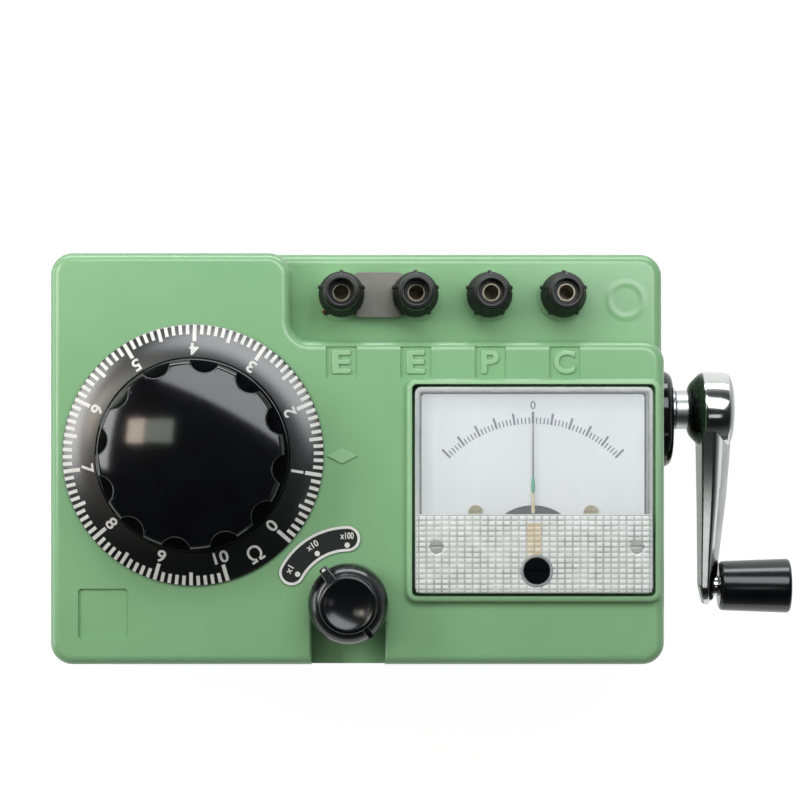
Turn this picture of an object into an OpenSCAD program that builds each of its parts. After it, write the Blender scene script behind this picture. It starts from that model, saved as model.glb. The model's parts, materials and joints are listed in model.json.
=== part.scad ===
// Hand-cranked earth resistance tester, lying on its back with the panel facing up.
// Millimetres. X runs right along the panel, Y away from the operator, Z up out of the panel.
// The origin is the middle of the base plate's outer face.

/* [Housing] */
// Length of the panel, left to right
case_l = 168.5; // [165:0.5:185]
// Depth of the panel, front to back
case_w = 113; // [112:0.5:125]
// Height of the panel above the base plate's outer face
panel_z = 110; // [108:1:125]
// Draft of the moulded walls, outward for each 100 of height
draft = 1.8; // [1:0.2:2.4]
// Radius of the upright corners at the panel
corner_r = 6; // [4.5:0.5:8]
// Rounding where walls turn into the panel
edge_r = 2.8; // [1.5:0.1:3]
// Thickness of the upright walls
wall = 3; // [2.4:0.1:3.5]
// Thickness of the panel
roof = 3.5; // [3:0.1:4.5]

/* [Terminal ledge] */
// Left end of the sunk ledge
ledge_x = -18.4; // [-21:0.2:-17]
// Front edge of the sunk ledge
ledge_y = 32.4; // [31:0.2:34]
// Depth of the ledge below the panel
ledge_drop = 9; // [6:0.5:10]
// Radius of the ledge's inner corner
ledge_r = 5.6; // [3:0.2:7]

/* [Front channel] */
// Width of the sunk channel in front of the range knob
channel_w = 20.2; // [18.5:0.1:21]
// Depth of the channel
channel_drop = 9; // [7:0.5:10]
// Rounding where the channel's walls meet the panel
channel_lip_r = 1; // [0.5:0.1:1.5]

/* [Small sunk squares] */
// Side of the four squares in front of the terminals
square_side = 8.5; // [7:0.1:9.5]
// Middle of those squares from the ledge's front edge
square_gap = 5.9; // [5.2:0.1:8]
// Side of the blank square at the front left
blank_side = 13.7; // [10:0.1:16]
// Middle of the blank square from the panel's left edge
blank_inset_x = 14.5; // [13:0.1:18]
// Middle of the blank square from the panel's front edge
blank_inset_y = 14; // [13:0.1:18]
// Depth of the sunk squares
square_drop = 0.8; // [0.4:0.1:1.2]

/* [Balance dial] */
// Dial axis, X
dial_x = -45; // [-47:0.1:-43]
// Dial axis, Y
dial_y = 1; // [-5:0.1:3]
// Diameter of the graduated disc
disc_d = 71.6; // [66:0.1:73]
// Thickness of the disc
disc_t = 1.8; // [1.2:0.1:2.4]
// Air under the disc
disc_air = 0.6; // [0.3:0.1:1]
// Diameter of the knob over its rim
knob_d = 52.8; // [48:0.1:55]
// Height of the knob above the disc
knob_h = 20.1; // [18:0.1:23]
// Radius of the knob's crown
knob_crown_r = 75; // [55:1:90]
// Rounding between the knob's side and crown
knob_shoulder_r = 3.5; // [2:0.5:9]
// Width of the rim lip round the knob
knob_lip = 1; // [0.6:0.1:1.5]
// Number of finger scallops
scallops = 12; // [8:1:14]
// Depth of a scallop
scallop_drop = 3; // [1.5:0.1:3.5]
// Width of a scallop
scallop_w = 8; // [6:0.1:9]

/* [Range switch] */
// Switch axis, X
range_x = -2.5; // [-4:0.1:-1]
// Switch axis behind the panel's front edge
range_inset = 17; // [16:0.1:18]
// Diameter of the range knob
range_d = 21.9; // [20:0.1:24]
// Height of the range knob
range_h = 15; // [12:0.1:17]
// Inner radius of the arc plate
arc_in = 14; // [13.5:0.1:15]
// Outer radius of the arc plate
arc_out = 21.1; // [19:0.1:22]
// Thickness of the arc plate
arc_t = 0.5; // [0.3:0.1:1]

/* [Panel meter] */
// Meter middle, X
meter_x = 48.2; // [47.5:0.1:49]
// Meter middle, Y
meter_y = -8.6; // [-9.5:0.1:-8]
// Width of the meter's face
face_l = 65; // [62:0.1:65.5]
// Height of the meter's face
face_w = 56.4; // [53:0.1:57]
// Air round the meter's face
face_air = 0.8; // [0.4:0.1:1.2]
// Thickness of the raised frame
frame_t = 1.6; // [1.2:0.1:2]
// Height of the raised frame above the panel
frame_h = 2.6; // [1.5:0.1:3.5]
// Height of the cover above the panel
cover_h = 4.4; // [4:0.1:6]
// Wall of the clear cover
cover_t = 1.8; // [1.4:0.1:2.2]
// Depth of the meter's seat below the panel
seat_drop = 6.5; // [6:0.1:8]
// Diameter of the meter's ring magnet
magnet_d = 22; // [20:0.1:22.4]
// Diameter of the drum behind the panel
drum_d = 49; // [46:0.5:50]
// Depth of the drum below its seat
drum_h = 28; // [26:0.5:29]
// Length of the needle from its axis
needle_l = 35.5; // [30:0.1:37]

/* [Terminals] */
// First terminal, X
post_x = -4.4; // [-5:0.1:-3]
// Distance between terminals
post_pitch = 20.4; // [19:0.1:21]
// Terminals in front of the panel's back edge
post_inset = 11.3; // [10.5:0.1:13]
// Number of terminals
posts = 4; // [4:1:4]
// Bore of the plug sockets
socket_d = 4; // [3.5:0.1:4.2]
// Outside of the metal stud
stud_d = 4.9; // [4.8:0.1:5.4]
// Outside of the cap at its foot
cap_d = 12.6; // [11:0.1:13]
// Outside of the cap at its top ring
cap_top_d = 8.6; // [8.2:0.1:9.5]
// Height of the cap
cap_h = 15.5; // [13:0.1:17]
// Bottom of the cap's opening below its top
cap_mouth = 3; // [2:0.1:4]
// Travel of a cap along its thread
cap_travel = 2.4; // [1.6:0.1:2.8]
// Outside of the moulded ring round a terminal
ring_d = 14.3; // [13.5:0.1:16]
// Width of the link plate's middle
link_w = 12.4; // [10:0.1:13]
// Thickness of the link plate
link_t = 1.5; // [0.8:0.1:2]

/* [Crank] */
// Crank axis, Y
crank_y = 14.1; // [13:0.1:15]
// Crank axis, height above the base
crank_z = 64; // [63:0.5:67]
// Distance from the crank axis to the grip axis
crank_arm_l = 50.8; // [48:0.1:52]
// Diameter of the crank shaft
crank_shaft_d = 8; // [7:0.1:8.5]
// Outside of the chrome sleeve
sleeve_d = 11.2; // [11:0.1:13]
// Outside of the crank's hub
hub_d = 22; // [20:0.1:23]
// Length of the hub along the shaft
hub_l = 13.2; // [12:0.1:15]
// Diameter of the grip's spindle
spindle_d = 3.6; // [3:0.1:4]
// Length of the grip
grip_l = 20.5; // [18:0.1:26]
// Diameter of the grip at the arm
grip_d = 14.2; // [13:0.1:15]
// Diameter of the grip at its free end
grip_end_d = 15.7; // [14.5:0.1:17]

/* [Gears] */
// Module of the first stage
module_1 = 1.25; // [1.2:0.01:1.26]
// Teeth of the crank gear
teeth_1 = 48; // [46:1:48]
// Teeth of the idler pinion
teeth_2 = 12; // [12:1:14]
// Module of the second stage
module_2 = 1; // [0.95:0.01:1.02]
// Teeth of the idler gear
teeth_3 = 54; // [50:1:54]
// Teeth of the rotor pinion
teeth_4 = 12; // [12:1:14]
// Face width of the gears
gear_t = 3; // [2:0.1:3.2]
// Backlash at the pitch circle
backlash = 0.16; // [0.1:0.01:0.25]

/* [Generator] */
// Diameter of the generator's can
stator_d = 44; // [40:0.5:46]
// Length of the generator's can
stator_l = 40; // [36:0.5:42]
// Diameter of the rotor magnet
rotor_d = 24.6; // [20:0.1:25]
// Diameter of the rotor shaft
rotor_shaft_d = 5; // [4:0.1:5.4]

/* [Base] */
// Thickness of the base plate
base_t = 3; // [2.6:0.1:4]
// Diameter of a rubber foot
foot_d = 14; // [12:0.1:14.5]
// Height of a foot below the base plate
foot_h = 2.5; // [1.5:0.1:3]
// Depth of a foot's seat in the base plate
foot_sink = 1.5; // [1:0.1:1.8]
// Feet and screws, in from the panel's edges
foot_inset = 10.4; // [10:0.1:12]

/* [Fits] */
// Radial play of a turning shaft
run_fit = 0.05; // [0.02:0.01:0.08]
// Radial play of parts that are fixed together
seat_fit = 0.02; // [0.01:0.01:0.05]
// Air between parts that pass each other
air = 0.4; // [0.3:0.05:0.8]

/* [Hidden] */
$fn = 96;
tiny = 0.01;
case_x = case_l / 2;
case_y = case_w / 2;
ledge_z = panel_z - ledge_drop;
channel_z = panel_z - channel_drop;
range_y = range_inset - case_y;
post_y = case_y - post_inset;
disc_z = panel_z + disc_air;
knob_z = disc_z + disc_t;
range_knob_z = panel_z + disc_air;

// Outward lean of a moulded wall at a height, measured from the panel
function lean(z) = (panel_z - z) * draft / 100;

// Square corner at the origin's far side with the quarter circle left out, for rounding an edge
module edge_waste(r) {
    difference() {
        square(r + 1);
        circle(r);
    }
}

// Section of a moulded wall from its middle out to reach at the panel, its top edge rounded over
module wall_section(reach, z_low, z_top, round_r) {
    arc_z = z_top - round_r;
    arc_x = reach + lean(arc_z) - round_r;
    difference() {
        polygon(concat(
            [[0, z_low], [reach + lean(z_low), z_low], [reach + lean(arc_z), arc_z]],
            round_r > 0 ? [[reach + lean(arc_z), z_top]] : [],
            [[0, z_top]]
        ));
        if (round_r > 0)
            translate([arc_x, arc_z])
                edge_waste(round_r);
    }
}

// Block with drafted walls, upright corners of one radius and a rounded top edge
module moulded_block(low, high, z_low, z_top, corner, round_r) {
    half = (high - low) / 2;
    translate([low[0] + half[0], low[1] + half[1], 0]) {
        rotate([90, 0, 90])
            linear_extrude(2 * (half[0] - corner), center = true)
                for (side = [0, 1])
                    mirror([side, 0])
                        wall_section(half[1], z_low, z_top, round_r);
        rotate([90, 0, 0])
            linear_extrude(2 * (half[1] - corner), center = true)
                for (side = [0, 1])
                    mirror([side, 0])
                        wall_section(half[0], z_low, z_top, round_r);
        for (quarter = [0 : 3]) {
            sx = quarter == 0 || quarter == 3 ? 1 : -1;
            sy = quarter < 2 ? 1 : -1;
            translate([sx * (half[0] - corner), sy * (half[1] - corner), 0])
                rotate(90 * quarter)
                    rotate_extrude(angle = 90)
                        wall_section(corner, z_low, z_top, round_r);
        }
    }
}

// Flat shape with straight sides and rounded corners, from its middle
module rounded_rect(size, r) {
    square([size[0] - 2 * r, size[1]], center = true);
    square([size[0], size[1] - 2 * r], center = true);
    for (sx = [-1, 1], sy = [-1, 1])
        translate([sx * (size[0] / 2 - r), sy * (size[1] / 2 - r)])
            circle(r);
}

// Prism of a rounded rectangle standing on z
module rounded_slab(size, r, z, h) {
    translate([0, 0, z])
        linear_extrude(h)
            rounded_rect(size, r);
}

// Cylinder along X between two stations on a shaft line in the YZ plane
module along_x(line, x_from, x_to, d) {
    translate([x_from, line[0], line[1]])
        rotate([0, 90, 0])
            cylinder(h = x_to - x_from, d = d);
}

// Tube along X, open at both ends
module tube_x(line, x_from, x_to, outer, inner) {
    difference() {
        along_x(line, x_from, x_to, outer);
        along_x(line, x_from - 1, x_to + 1, inner);
    }
}

// Upright cylinder at a place
module post(at, z, h, d) {
    translate([at[0], at[1], z])
        cylinder(h = h, d = d);
}

// Flat ring at a place
module ring(at, z, h, outer, inner) {
    difference() {
        post(at, z, h, outer);
        post(at, z - 1, h + 2, inner);
    }
}

// Upright hexagon by its size across the flats
module hexagon(at, z, h, flats) {
    translate([at[0], at[1], z])
        cylinder(h = h, d = flats / cos(30), $fn = 6);
}

// Housing: the ledge, channel, meter seat and bosses are one moulding with the walls
ledge_corner = [ledge_x + ledge_r, ledge_y + ledge_r];
seat_z = panel_z - seat_drop;
seat_t = 3;
pocket = [face_l + 2 * face_air, face_w + 2 * face_air];
frame_outer = pocket + [2 * frame_t, 2 * frame_t];
pocket_r = 1.4;
face_front = meter_y - face_w / 2;
drum_inset = 0.8;
drum_y = face_front + drum_inset + drum_d / 2;
drum_at = [meter_x, drum_y];
channel_wall = 2.4;
channel_floor_t = 3;
dial_at = [dial_x, dial_y];
range_at = [range_x, range_y];
bush_d = 10;
feet = [for (sx = [-1, 1], sy = [-1, 1]) [sx * (case_x - foot_inset), sy * (case_y - foot_inset)]];
boss_d = 9;
boss_top = base_t + 9;
base_screw_d = 2.9;
index_at = [-4.2, dial_y - 0.2];
crank_line = [crank_y, crank_z];
pad_z = 3;
pad_x = case_x + lean(crank_z) + 0.8;
cover_spread = 5.3;
cover_foot_d = 22.2;
bush_outer_d = 13;
plate_out_x = case_x - 4.75;
plate_t = 1.5;
meet_x = -30;
meet_y = 0;

// The outer form, grown by a distance that may be negative: the full-height front and left parts, and the
// lower part under the ledge. Each part is cut square where it runs into the others.
module outer_form(grow, drop, round_r) {
    corner = corner_r + grow;
    low = grow == 0 ? 0 : -1;
    west = [-case_x - grow, -case_y - grow];
    tall = 2 * panel_z;
    difference() {
        moulded_block(west, [case_x + grow, ledge_y + grow], low, panel_z - drop, corner, round_r);
        translate([-case_l, meet_y, -tall / 2])
            cube([case_l + 2 * meet_x, case_w, tall]);
    }
    intersection() {
        moulded_block(west, [ledge_x + grow, case_y + grow], low, panel_z - drop, corner, round_r);
        translate([-case_l, meet_y - 4, -tall / 2])
            cube([2 * case_l, case_w, tall]);
    }
    intersection() {
        moulded_block(west, [case_x + grow, case_y + grow], low, ledge_z - drop, corner, round_r);
        translate([meet_x, meet_y - 8, -tall / 2])
            cube([case_l, case_w, tall]);
    }
}

// Hollow fillet that fills the ledge's inner corner, rounded over like the rest of the edge
module ledge_fillet() {
    reach = ledge_r + edge_r;
    translate([ledge_corner[0], ledge_corner[1], ledge_z - 1])
        difference() {
            translate([-reach, -reach, 0])
                cube([reach, reach, ledge_drop + 1]);
            rotate_extrude()
                difference() {
                    square([reach, ledge_drop + 2]);
                    translate([ledge_r, 0])
                        square([edge_r + 1, ledge_drop + 1 - edge_r]);
                    translate([reach, ledge_drop + 1 - edge_r])
                        circle(edge_r);
                }
        }
}

// Channel with a round end about the switch axis, running out through the front wall
module channel_prism(grow, z, h) {
    post(range_at, z, h, channel_w + 2 * grow);
    translate([range_x - channel_w / 2 - grow, -case_y - 5, z])
        cube([channel_w + 2 * grow, range_inset + 5, h]);
}

// Widening of the channel's top edge, so that its lip is rounded
module channel_lip() {
    half_w = channel_w / 2;
    z = panel_z - channel_lip_r;
    module flare() {
        translate([half_w - 1, z])
            difference() {
                square([channel_lip_r + 1, channel_lip_r + 1]);
                translate([channel_lip_r + 1, 0])
                    circle(channel_lip_r);
            }
    }
    translate([range_x, range_y, 0]) {
        rotate_extrude()
            flare();
        for (side = [0, 1])
            mirror([side, 0, 0])
                rotate([90, 0, 0])
                    linear_extrude(range_inset + 5)
                        flare();
    }
}

// Four-sided raised mark that points at the dial
module index_mark() {
    long = 4.2;
    wide = 2.1;
    translate([index_at[0], index_at[1], panel_z - tiny])
        linear_extrude(0.5)
            polygon([[-long, 0], [0, -wide], [long, 0], [0, wide]]);
}

// Obround on the right wall about the crank axis, longer towards the operator
module crank_obround(d, x, h) {
    translate([x, 0, 0])
        rotate([90, 0, 90])
            linear_extrude(h) {
                translate(crank_line)
                    circle(d = d);
                translate([crank_y - cover_spread, crank_z])
                    circle(d = d);
                translate([crank_y - cover_spread, crank_z - d / 2])
                    square([cover_spread, d]);
            }
}

// Bosses from the right wall that the gear frame is bolted to
frame_feet = [[36, 20], [-38, 20], [-38, 66]];
module wall_bosses() {
    intersection() {
        for (at = frame_feet)
            along_x(at, plate_out_x + plate_t, case_x + 3, 8);
        translate([0, -case_y, 0])
            cube([case_x + wall / 2, case_w, panel_z]);
    }
}

module base_bosses() {
    difference() {
        for (at = feet) {
            post(at, base_t, boss_top - base_t, boss_d);
            translate([at[0] > 0 ? at[0] : -case_x, at[1] - 1.2, base_t])
                cube([case_x - abs(at[0]), 2.4, boss_top - base_t]);
        }
        for (at = feet)
            post(at, base_t - 1, boss_top, base_screw_d + 2 * seat_fit);
    }
}

module housing() {
    color("DarkSeaGreen")
        difference() {
            union() {
                difference() {
                    union() {
                        outer_form(0, 0, edge_r);
                        ledge_fillet();
                    }
                    outer_form(-wall, roof, 0);
                }
                intersection() {
                    union() {
                        channel_prism(channel_wall, channel_z - channel_floor_t, channel_drop);
                        translate([meter_x, meter_y, 0])
                            rounded_slab(pocket + [5, 4], pocket_r + 2, seat_z - seat_t,
                                seat_drop + seat_t - 1);
                    }
                    outer_form(-wall / 2, roof / 2, 0);
                }
                translate([meter_x, meter_y, 0])
                    rounded_slab(frame_outer, pocket_r + frame_t, panel_z - edge_r - 1, frame_h + edge_r + 1);
                for (i = [0 : posts - 1])
                    post([post_x + i * post_pitch, post_y], ledge_z - 1, 2, ring_d);
                index_mark();
                crank_obround(cover_foot_d + 2, pad_x - 4, 4);
                wall_bosses();
                base_bosses();
            }
            channel_prism(0, channel_z, channel_drop + 5);
            channel_lip();
            translate([meter_x, meter_y, 0])
                rounded_slab(pocket, pocket_r, seat_z, seat_drop + frame_h + 1);
            post(drum_at, seat_z - 10, 20, drum_d + 2 * air);
            post(dial_at, panel_z - 10, 20, bush_d + 2 * run_fit);
            post(range_at, channel_z - 10, 20, bush_d + 2 * run_fit);
            for (i = [0 : posts - 1]) {
                post([post_x + i * post_pitch, post_y], ledge_z - 10, 20, stud_d + 2 * run_fit);
                translate([post_x + i * post_pitch, ledge_y - square_gap, panel_z - square_drop])
                    linear_extrude(2)
                        square(square_side, center = true);
            }
            translate([blank_inset_x - case_x, blank_inset_y - case_y, 0])
                rounded_slab([blank_side, blank_side], 1, panel_z - square_drop, 2);
            along_x(crank_line, case_x - wall, pad_x + 1, bush_outer_d + 2 * seat_fit);
        }
}

// Base plate, let in flush between the walls, with seats for the feet
base_air = 0.3;
screw_clear = 0.25;
module base_plate() {
    inset = wall + base_air - lean(base_t);
    color("DimGray")
        difference() {
            rounded_slab([case_l - 2 * inset, case_w - 2 * inset], corner_r - inset, 0, base_t);
            for (at = feet) {
                post(at, -1, foot_sink + 1, foot_d + 2 * air);
                post(at, -1, base_t + 2, base_screw_d + 2 * screw_clear);
            }
        }
}

screw_head_d = 5.8;
head_h = 1.6;
head_z = -0.5;
module rubber_feet() {
    color("Black")
        for (at = feet)
            translate([at[0], at[1], 0])
                difference() {
                    rotate_extrude()
                        difference() {
                            translate([0, -foot_h])
                                square([foot_d / 2, foot_h + foot_sink]);
                            mirror([0, 1])
                                translate([foot_d / 2 - 0.8, foot_h - 0.8])
                                    edge_waste(0.8);
                        }
                    translate([0, 0, -foot_h - 1])
                        cylinder(h = foot_h + 1 + head_z, d = screw_head_d + 2 * screw_clear);
                    translate([0, 0, -1])
                        cylinder(h = foot_sink + 2, d = base_screw_d + 2 * screw_clear);
                }
}

module base_screws() {
    color("Silver")
        for (at = feet)
            difference() {
                union() {
                    post(at, head_z - head_h, head_h, screw_head_d);
                    post(at, head_z, boss_top - head_z - 1, base_screw_d);
                }
                translate([at[0] - 4, at[1] - 0.4, head_z - head_h - 1])
                    cube([8, 0.8, 1.7]);
            }
}

// Balance dial: disc, knob, shaft and wiper turn together over the slide wire
dial_shaft_d = 6;
knob_bore_z = panel_z + 7;
knob_hollow_d = 20;
shaft_low = 88;
base_disc_t = 3;
stack_h = 11;
flange_t = 2.5;
flange_d = 16;
thread_h = 15;
nut_t = 2.5;
nut_flats = 14;

// Half section of a domed knob: upright side, rounded shoulder and a crown of a large radius
module domed_section(r, z, h, crown_r, shoulder_r) {
    side = r - shoulder_r;
    crown_z = z + h - crown_r;
    shoulder_z = crown_z + sqrt(pow(crown_r - shoulder_r, 2) - side * side);
    meet = side * crown_r / (crown_r - shoulder_r);
    intersection() {
        union() {
            intersection() {
                translate([0, crown_z])
                    circle(crown_r);
                square([meet, z + h + 1]);
            }
            translate([side, shoulder_z])
                circle(shoulder_r);
            square([r, shoulder_z]);
        }
        translate([0, z])
            square([r + 1, h + 1]);
    }
}

module dial_disc() {
    bevel = 0.5;
    color("Black")
        difference() {
            post(dial_at, disc_z, disc_t - bevel, disc_d);
            post(dial_at, disc_z - 1, disc_t + 2, knob_hollow_d);
        }
    color("Black")
        translate([dial_x, dial_y, knob_z - bevel])
            difference() {
                cylinder(h = bevel, d1 = disc_d, d2 = disc_d - 2 * bevel);
                translate([0, 0, -1])
                    cylinder(h = bevel + 2, d = knob_hollow_d);
            }
}

module dial_knob() {
    lip_h = 1.3;
    side_r = knob_d / 2 - knob_lip;
    scallop_r = (pow(scallop_w / 2, 2) + pow(scallop_drop, 2)) / (2 * scallop_drop);
    first_scallop = 21.4;
    color("Black")
        translate([dial_x, dial_y, 0])
            difference() {
                union() {
                    difference() {
                        rotate_extrude()
                            domed_section(side_r, knob_z, knob_h, knob_crown_r, knob_shoulder_r);
                        for (i = [0 : scallops - 1])
                            rotate(first_scallop + i * 360 / scallops)
                                translate([side_r - scallop_drop + scallop_r, 0, knob_z + lip_h])
                                    cylinder(h = knob_h, r = scallop_r);
                    }
                    translate([0, 0, knob_z])
                        cylinder(h = lip_h, d = knob_d);
                }
                translate([0, 0, knob_z - 1])
                    cylinder(h = knob_bore_z - knob_z + 1, d = knob_hollow_d);
                translate([0, 0, knob_z])
                    cylinder(h = knob_h - 6, d = dial_shaft_d + 2 * seat_fit);
            }
}

module dial_shaft() {
    color("Silver")
        post(dial_at, shaft_low, knob_z + knob_h - 7 - shaft_low, dial_shaft_d);
}

// Threaded bush with a flange below; the nut above the panel draws the whole stack together
module shaft_bush(at, seat) {
    color("Goldenrod")
        difference() {
            union() {
                post(at, seat - stack_h - flange_t, flange_t, flange_d);
                post(at, seat - stack_h, thread_h, bush_d);
            }
            post(at, seat - stack_h - flange_t - 1, thread_h + flange_t + 2, dial_shaft_d + 2 * run_fit);
        }
}

module shaft_bushes() {
    shaft_bush(dial_at, panel_z);
    shaft_bush(range_at, channel_z);
}

module bush_nuts() {
    color("Goldenrod")
        for (place = [[dial_at, panel_z], [range_at, channel_z]])
            difference() {
                hexagon(place[0], place[1], nut_t, nut_flats);
                post(place[0], place[1] - 1, nut_t + 2, bush_d + 2 * run_fit);
            }
}

wire_d = 58;
wire_t = 3;
wire_h = 8;
wire_top = panel_z - stack_h;
module slide_wire_base() {
    color("SaddleBrown")
        difference() {
            union() {
                post(dial_at, wire_top, base_disc_t, wire_d + 2);
                post(dial_at, wire_top, stack_h - roof, flange_d + 2);
            }
            post(dial_at, wire_top - 1, stack_h + 2, bush_d + 2 * run_fit);
        }
}

module slide_wire() {
    color("Peru")
        ring(dial_at, wire_top - wire_h, wire_h, wire_d, wire_d - 2 * wire_t);
}

module wiper_arm() {
    hub = 12;
    reach = wire_d / 2 - wire_t - air;
    z = wire_top - flange_t - air - 5;
    color("Goldenrod")
        difference() {
            union() {
                post(dial_at, z, 5, hub);
                translate([dial_x, dial_y - 2, z + 1.5])
                    cube([reach - 3, 4, 1]);
                translate([dial_x + reach - 3.2, dial_y, z])
                    cylinder(h = 4, d = 6);
            }
            post(dial_at, z - 1, 7, dial_shaft_d + 2 * seat_fit);
            translate([dial_x, dial_y, z - 1])
                difference() {
                    cylinder(h = 7, r = reach + 10);
                    translate([0, 0, -1])
                        cylinder(h = 9, r = reach);
                }
        }
}

// Range switch: three positions, hung under the channel's floor
wafer_d = 25;
wafer_t = 2;
range_low = channel_z - stack_h;
wafer_z = range_low - 8;
rotor_hole_d = 12;
module range_plate() {
    from = 90.7;
    to = 151.9;
    mid = (arc_in + arc_out) / 2;
    wide = arc_out - arc_in;
    color("Black")
        translate([range_x, range_y, panel_z])
            linear_extrude(arc_t) {
                difference() {
                    intersection() {
                        circle(arc_out);
                        polygon([
                            [0, 0],
                            2 * arc_out * [cos(from), sin(from)],
                            2 * arc_out * [cos((from + to) / 2), sin((from + to) / 2)],
                            2 * arc_out * [cos(to), sin(to)]
                        ]);
                    }
                    circle(arc_in);
                }
                for (a = [from, to])
                    translate(mid * [cos(a), sin(a)])
                        circle(d = wide);
            }
}

module range_knob() {
    point_at = 125.5;
    top_d = 15.6;
    dish_r = 16;
    dish_d = 13;
    dish_drop = dish_r - sqrt(dish_r * dish_r - dish_d * dish_d / 4);
    bulge = 5;
    color("Black")
        translate([range_x, range_y, range_knob_z])
            difference() {
                union() {
                    rotate_extrude() {
                        polygon([
                            [0, 0],
                            [range_d / 2 - 0.6, 0],
                            [range_d / 2, 1.2],
                            [range_d / 2, bulge],
                            [top_d / 2, range_h],
                            [0, range_h]
                        ]);
                        translate([range_d / 2 - bulge, bulge])
                            circle(bulge);
                    }
                    rotate(point_at)
                        translate([0, -1.6, bulge])
                            cube([range_d / 2 + 1.2, 3.2, range_h - bulge - 1.5]);
                    rotate(point_at + 180)
                        translate([0, -1, bulge])
                            cube([range_d / 2 + 0.3, 2, range_h - bulge - 3]);
                }
                translate([0, 0, range_h + dish_r - dish_drop])
                    sphere(dish_r);
                translate([0, 0, -1])
                    cylinder(h = range_h - 4, d = dial_shaft_d + 2 * seat_fit);
            }
}

module range_shaft() {
    color("Silver")
        post(range_at, wafer_z - 4, range_knob_z + range_h - 7 - wafer_z + 4, dial_shaft_d);
}

// Round plate clamped under the channel, with two rods riveted in that carry the wafer
module range_frame() {
    rod_x = 10;
    rod_z = wafer_z + wafer_t;
    color("Silver")
        difference() {
            union() {
                post(range_at, range_low, 3, wafer_d);
                post(range_at, range_low, stack_h - channel_floor_t, flange_d + 2);
                for (side = [-1, 1])
                    post([range_x + side * rod_x, range_y], rod_z, range_low - rod_z + 1, 3);
            }
            post(range_at, range_low - 1, stack_h + 2, bush_d + 2 * run_fit);
        }
}

module range_wafer() {
    lugs = 12;
    color("SaddleBrown")
        ring(range_at, wafer_z, wafer_t, wafer_d, rotor_hole_d);
    color("Goldenrod")
        for (i = [0 : lugs - 1])
            rotate_about(range_at, i * 360 / lugs)
                translate([wafer_d / 2 - 2, -0.75, wafer_z - 0.6])
                    cube([3, 1.5, 0.6]);
}

// Turns what follows about an upright axis through a place
module rotate_about(at, turn) {
    translate([at[0], at[1], 0])
        rotate(turn)
            children();
}

module range_rotor() {
    color("Ivory")
        ring(range_at, wafer_z - 2, wafer_t + 4, rotor_hole_d - 2 * air, dial_shaft_d + 2 * seat_fit);
}

// Panel meter: moving coil between a ring magnet and a core, under a clear cover
flange_h = 2;
drum_wall = 2;
drum_low = seat_z - drum_h;
magnet_air = 0.6;
pivot_at = [meter_x, face_front + drum_inset + drum_wall + magnet_air + magnet_d / 2];
magnet_in = 13.8;
magnet_low = seat_z - 20;
magnet_h = 16;
magnet_top = magnet_low + magnet_h;
core_d = 10;
coil_r = 6.3;
coil_t = 0.8;
coil_w = 3;
plate_z = panel_z - 1.8;
scale_t = 0.5;
needle_z = plate_z + scale_t + 0.7;
bridge_z = needle_z + 1;
bridge_t = 0.8;
bridge_half = 9;
low_drop = 3.4;
staff_d = 1;
bridge_post_d = 2.4;
cover_top = panel_z + cover_h;
cover_under = cover_top - 2;
cutout_r = 14;
cutout_drop = 4.4;
scale_air = 0.1;
scale_half_l = face_l / 2 - cover_t - scale_air;
scale_top_y = meter_y + face_w / 2 - cover_t - scale_air;
scale_screws = [for (shift = [-15.8, 15.9]) [meter_x + shift, pivot_at[1] + 7.7]];
scale_pillar_d = 5;

module meter_drum() {
    color("Black")
        difference() {
            union() {
                translate([meter_x, meter_y, 0])
                    rounded_slab([face_l, face_w], pocket_r, seat_z, flange_h);
                post(drum_at, drum_low, drum_h + tiny, drum_d);
            }
            post(drum_at, drum_low + drum_wall, drum_h + flange_h, drum_d - 2 * drum_wall);
            for (side = [-1, 1])
                post([meter_x + side * 8, drum_y], drum_low - 1, 5, 3 + 2 * seat_fit);
        }
    color("Black")
        difference() {
            post(pivot_at, drum_low + drum_wall, magnet_low - drum_low - drum_wall - low_drop, magnet_d - 2);
            post(pivot_at, drum_low + drum_wall - 1, drum_h, 12);
        }
}

module meter_studs() {
    color("Goldenrod")
        for (side = [-1, 1]) {
            post([meter_x + side * 8, drum_y], drum_low - 8, 10, 3);
            difference() {
                hexagon([meter_x + side * 8, drum_y], drum_low - 2.4, 2.4, 5.5);
                post([meter_x + side * 8, drum_y], drum_low - 3, 4, 3 + 2 * seat_fit);
            }
        }
}

// Ring magnet with a slot at the front that takes the core's web
web_t = 3;
module meter_magnet() {
    color("DimGray")
        difference() {
            ring(pivot_at, magnet_low, magnet_h, magnet_d, magnet_in);
            translate([pivot_at[0] - web_t / 2, pivot_at[1] - magnet_d, magnet_low - 1])
                cube([web_t, magnet_d, magnet_h + 2]);
        }
}

module meter_core() {
    color("Gray")
        difference() {
            union() {
                post(pivot_at, magnet_low + 1.5, magnet_h - 3, core_d);
                translate([pivot_at[0] - web_t / 2, pivot_at[1] - magnet_d / 2 + 0.5, magnet_low + 1.5])
                    cube([web_t, magnet_d / 2 - 0.5 - core_d / 4, magnet_h - 3]);
            }
            post(pivot_at, magnet_low, magnet_h, 1.6);
        }
}

// Brass strips that hold the jewels, above the needle and below the magnet
module pivot_bridges() {
    low_z = magnet_low - low_drop;
    color("Goldenrod") {
        for (side = [-1, 1]) {
            at = pivot_at + [side * bridge_half, 0];
            post(at, magnet_top, bridge_z - magnet_top, bridge_post_d);
            post(at, low_z + bridge_t, low_drop - bridge_t, bridge_post_d);
        }
        for (z = [low_z, bridge_z])
            difference() {
                translate([pivot_at[0], pivot_at[1], 0])
                    rounded_slab([2 * bridge_half + 3, 4], 1.5, z, bridge_t);
                post(pivot_at, z - 1, bridge_t + 2, staff_d + 2 * run_fit);
            }
    }
}

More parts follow.
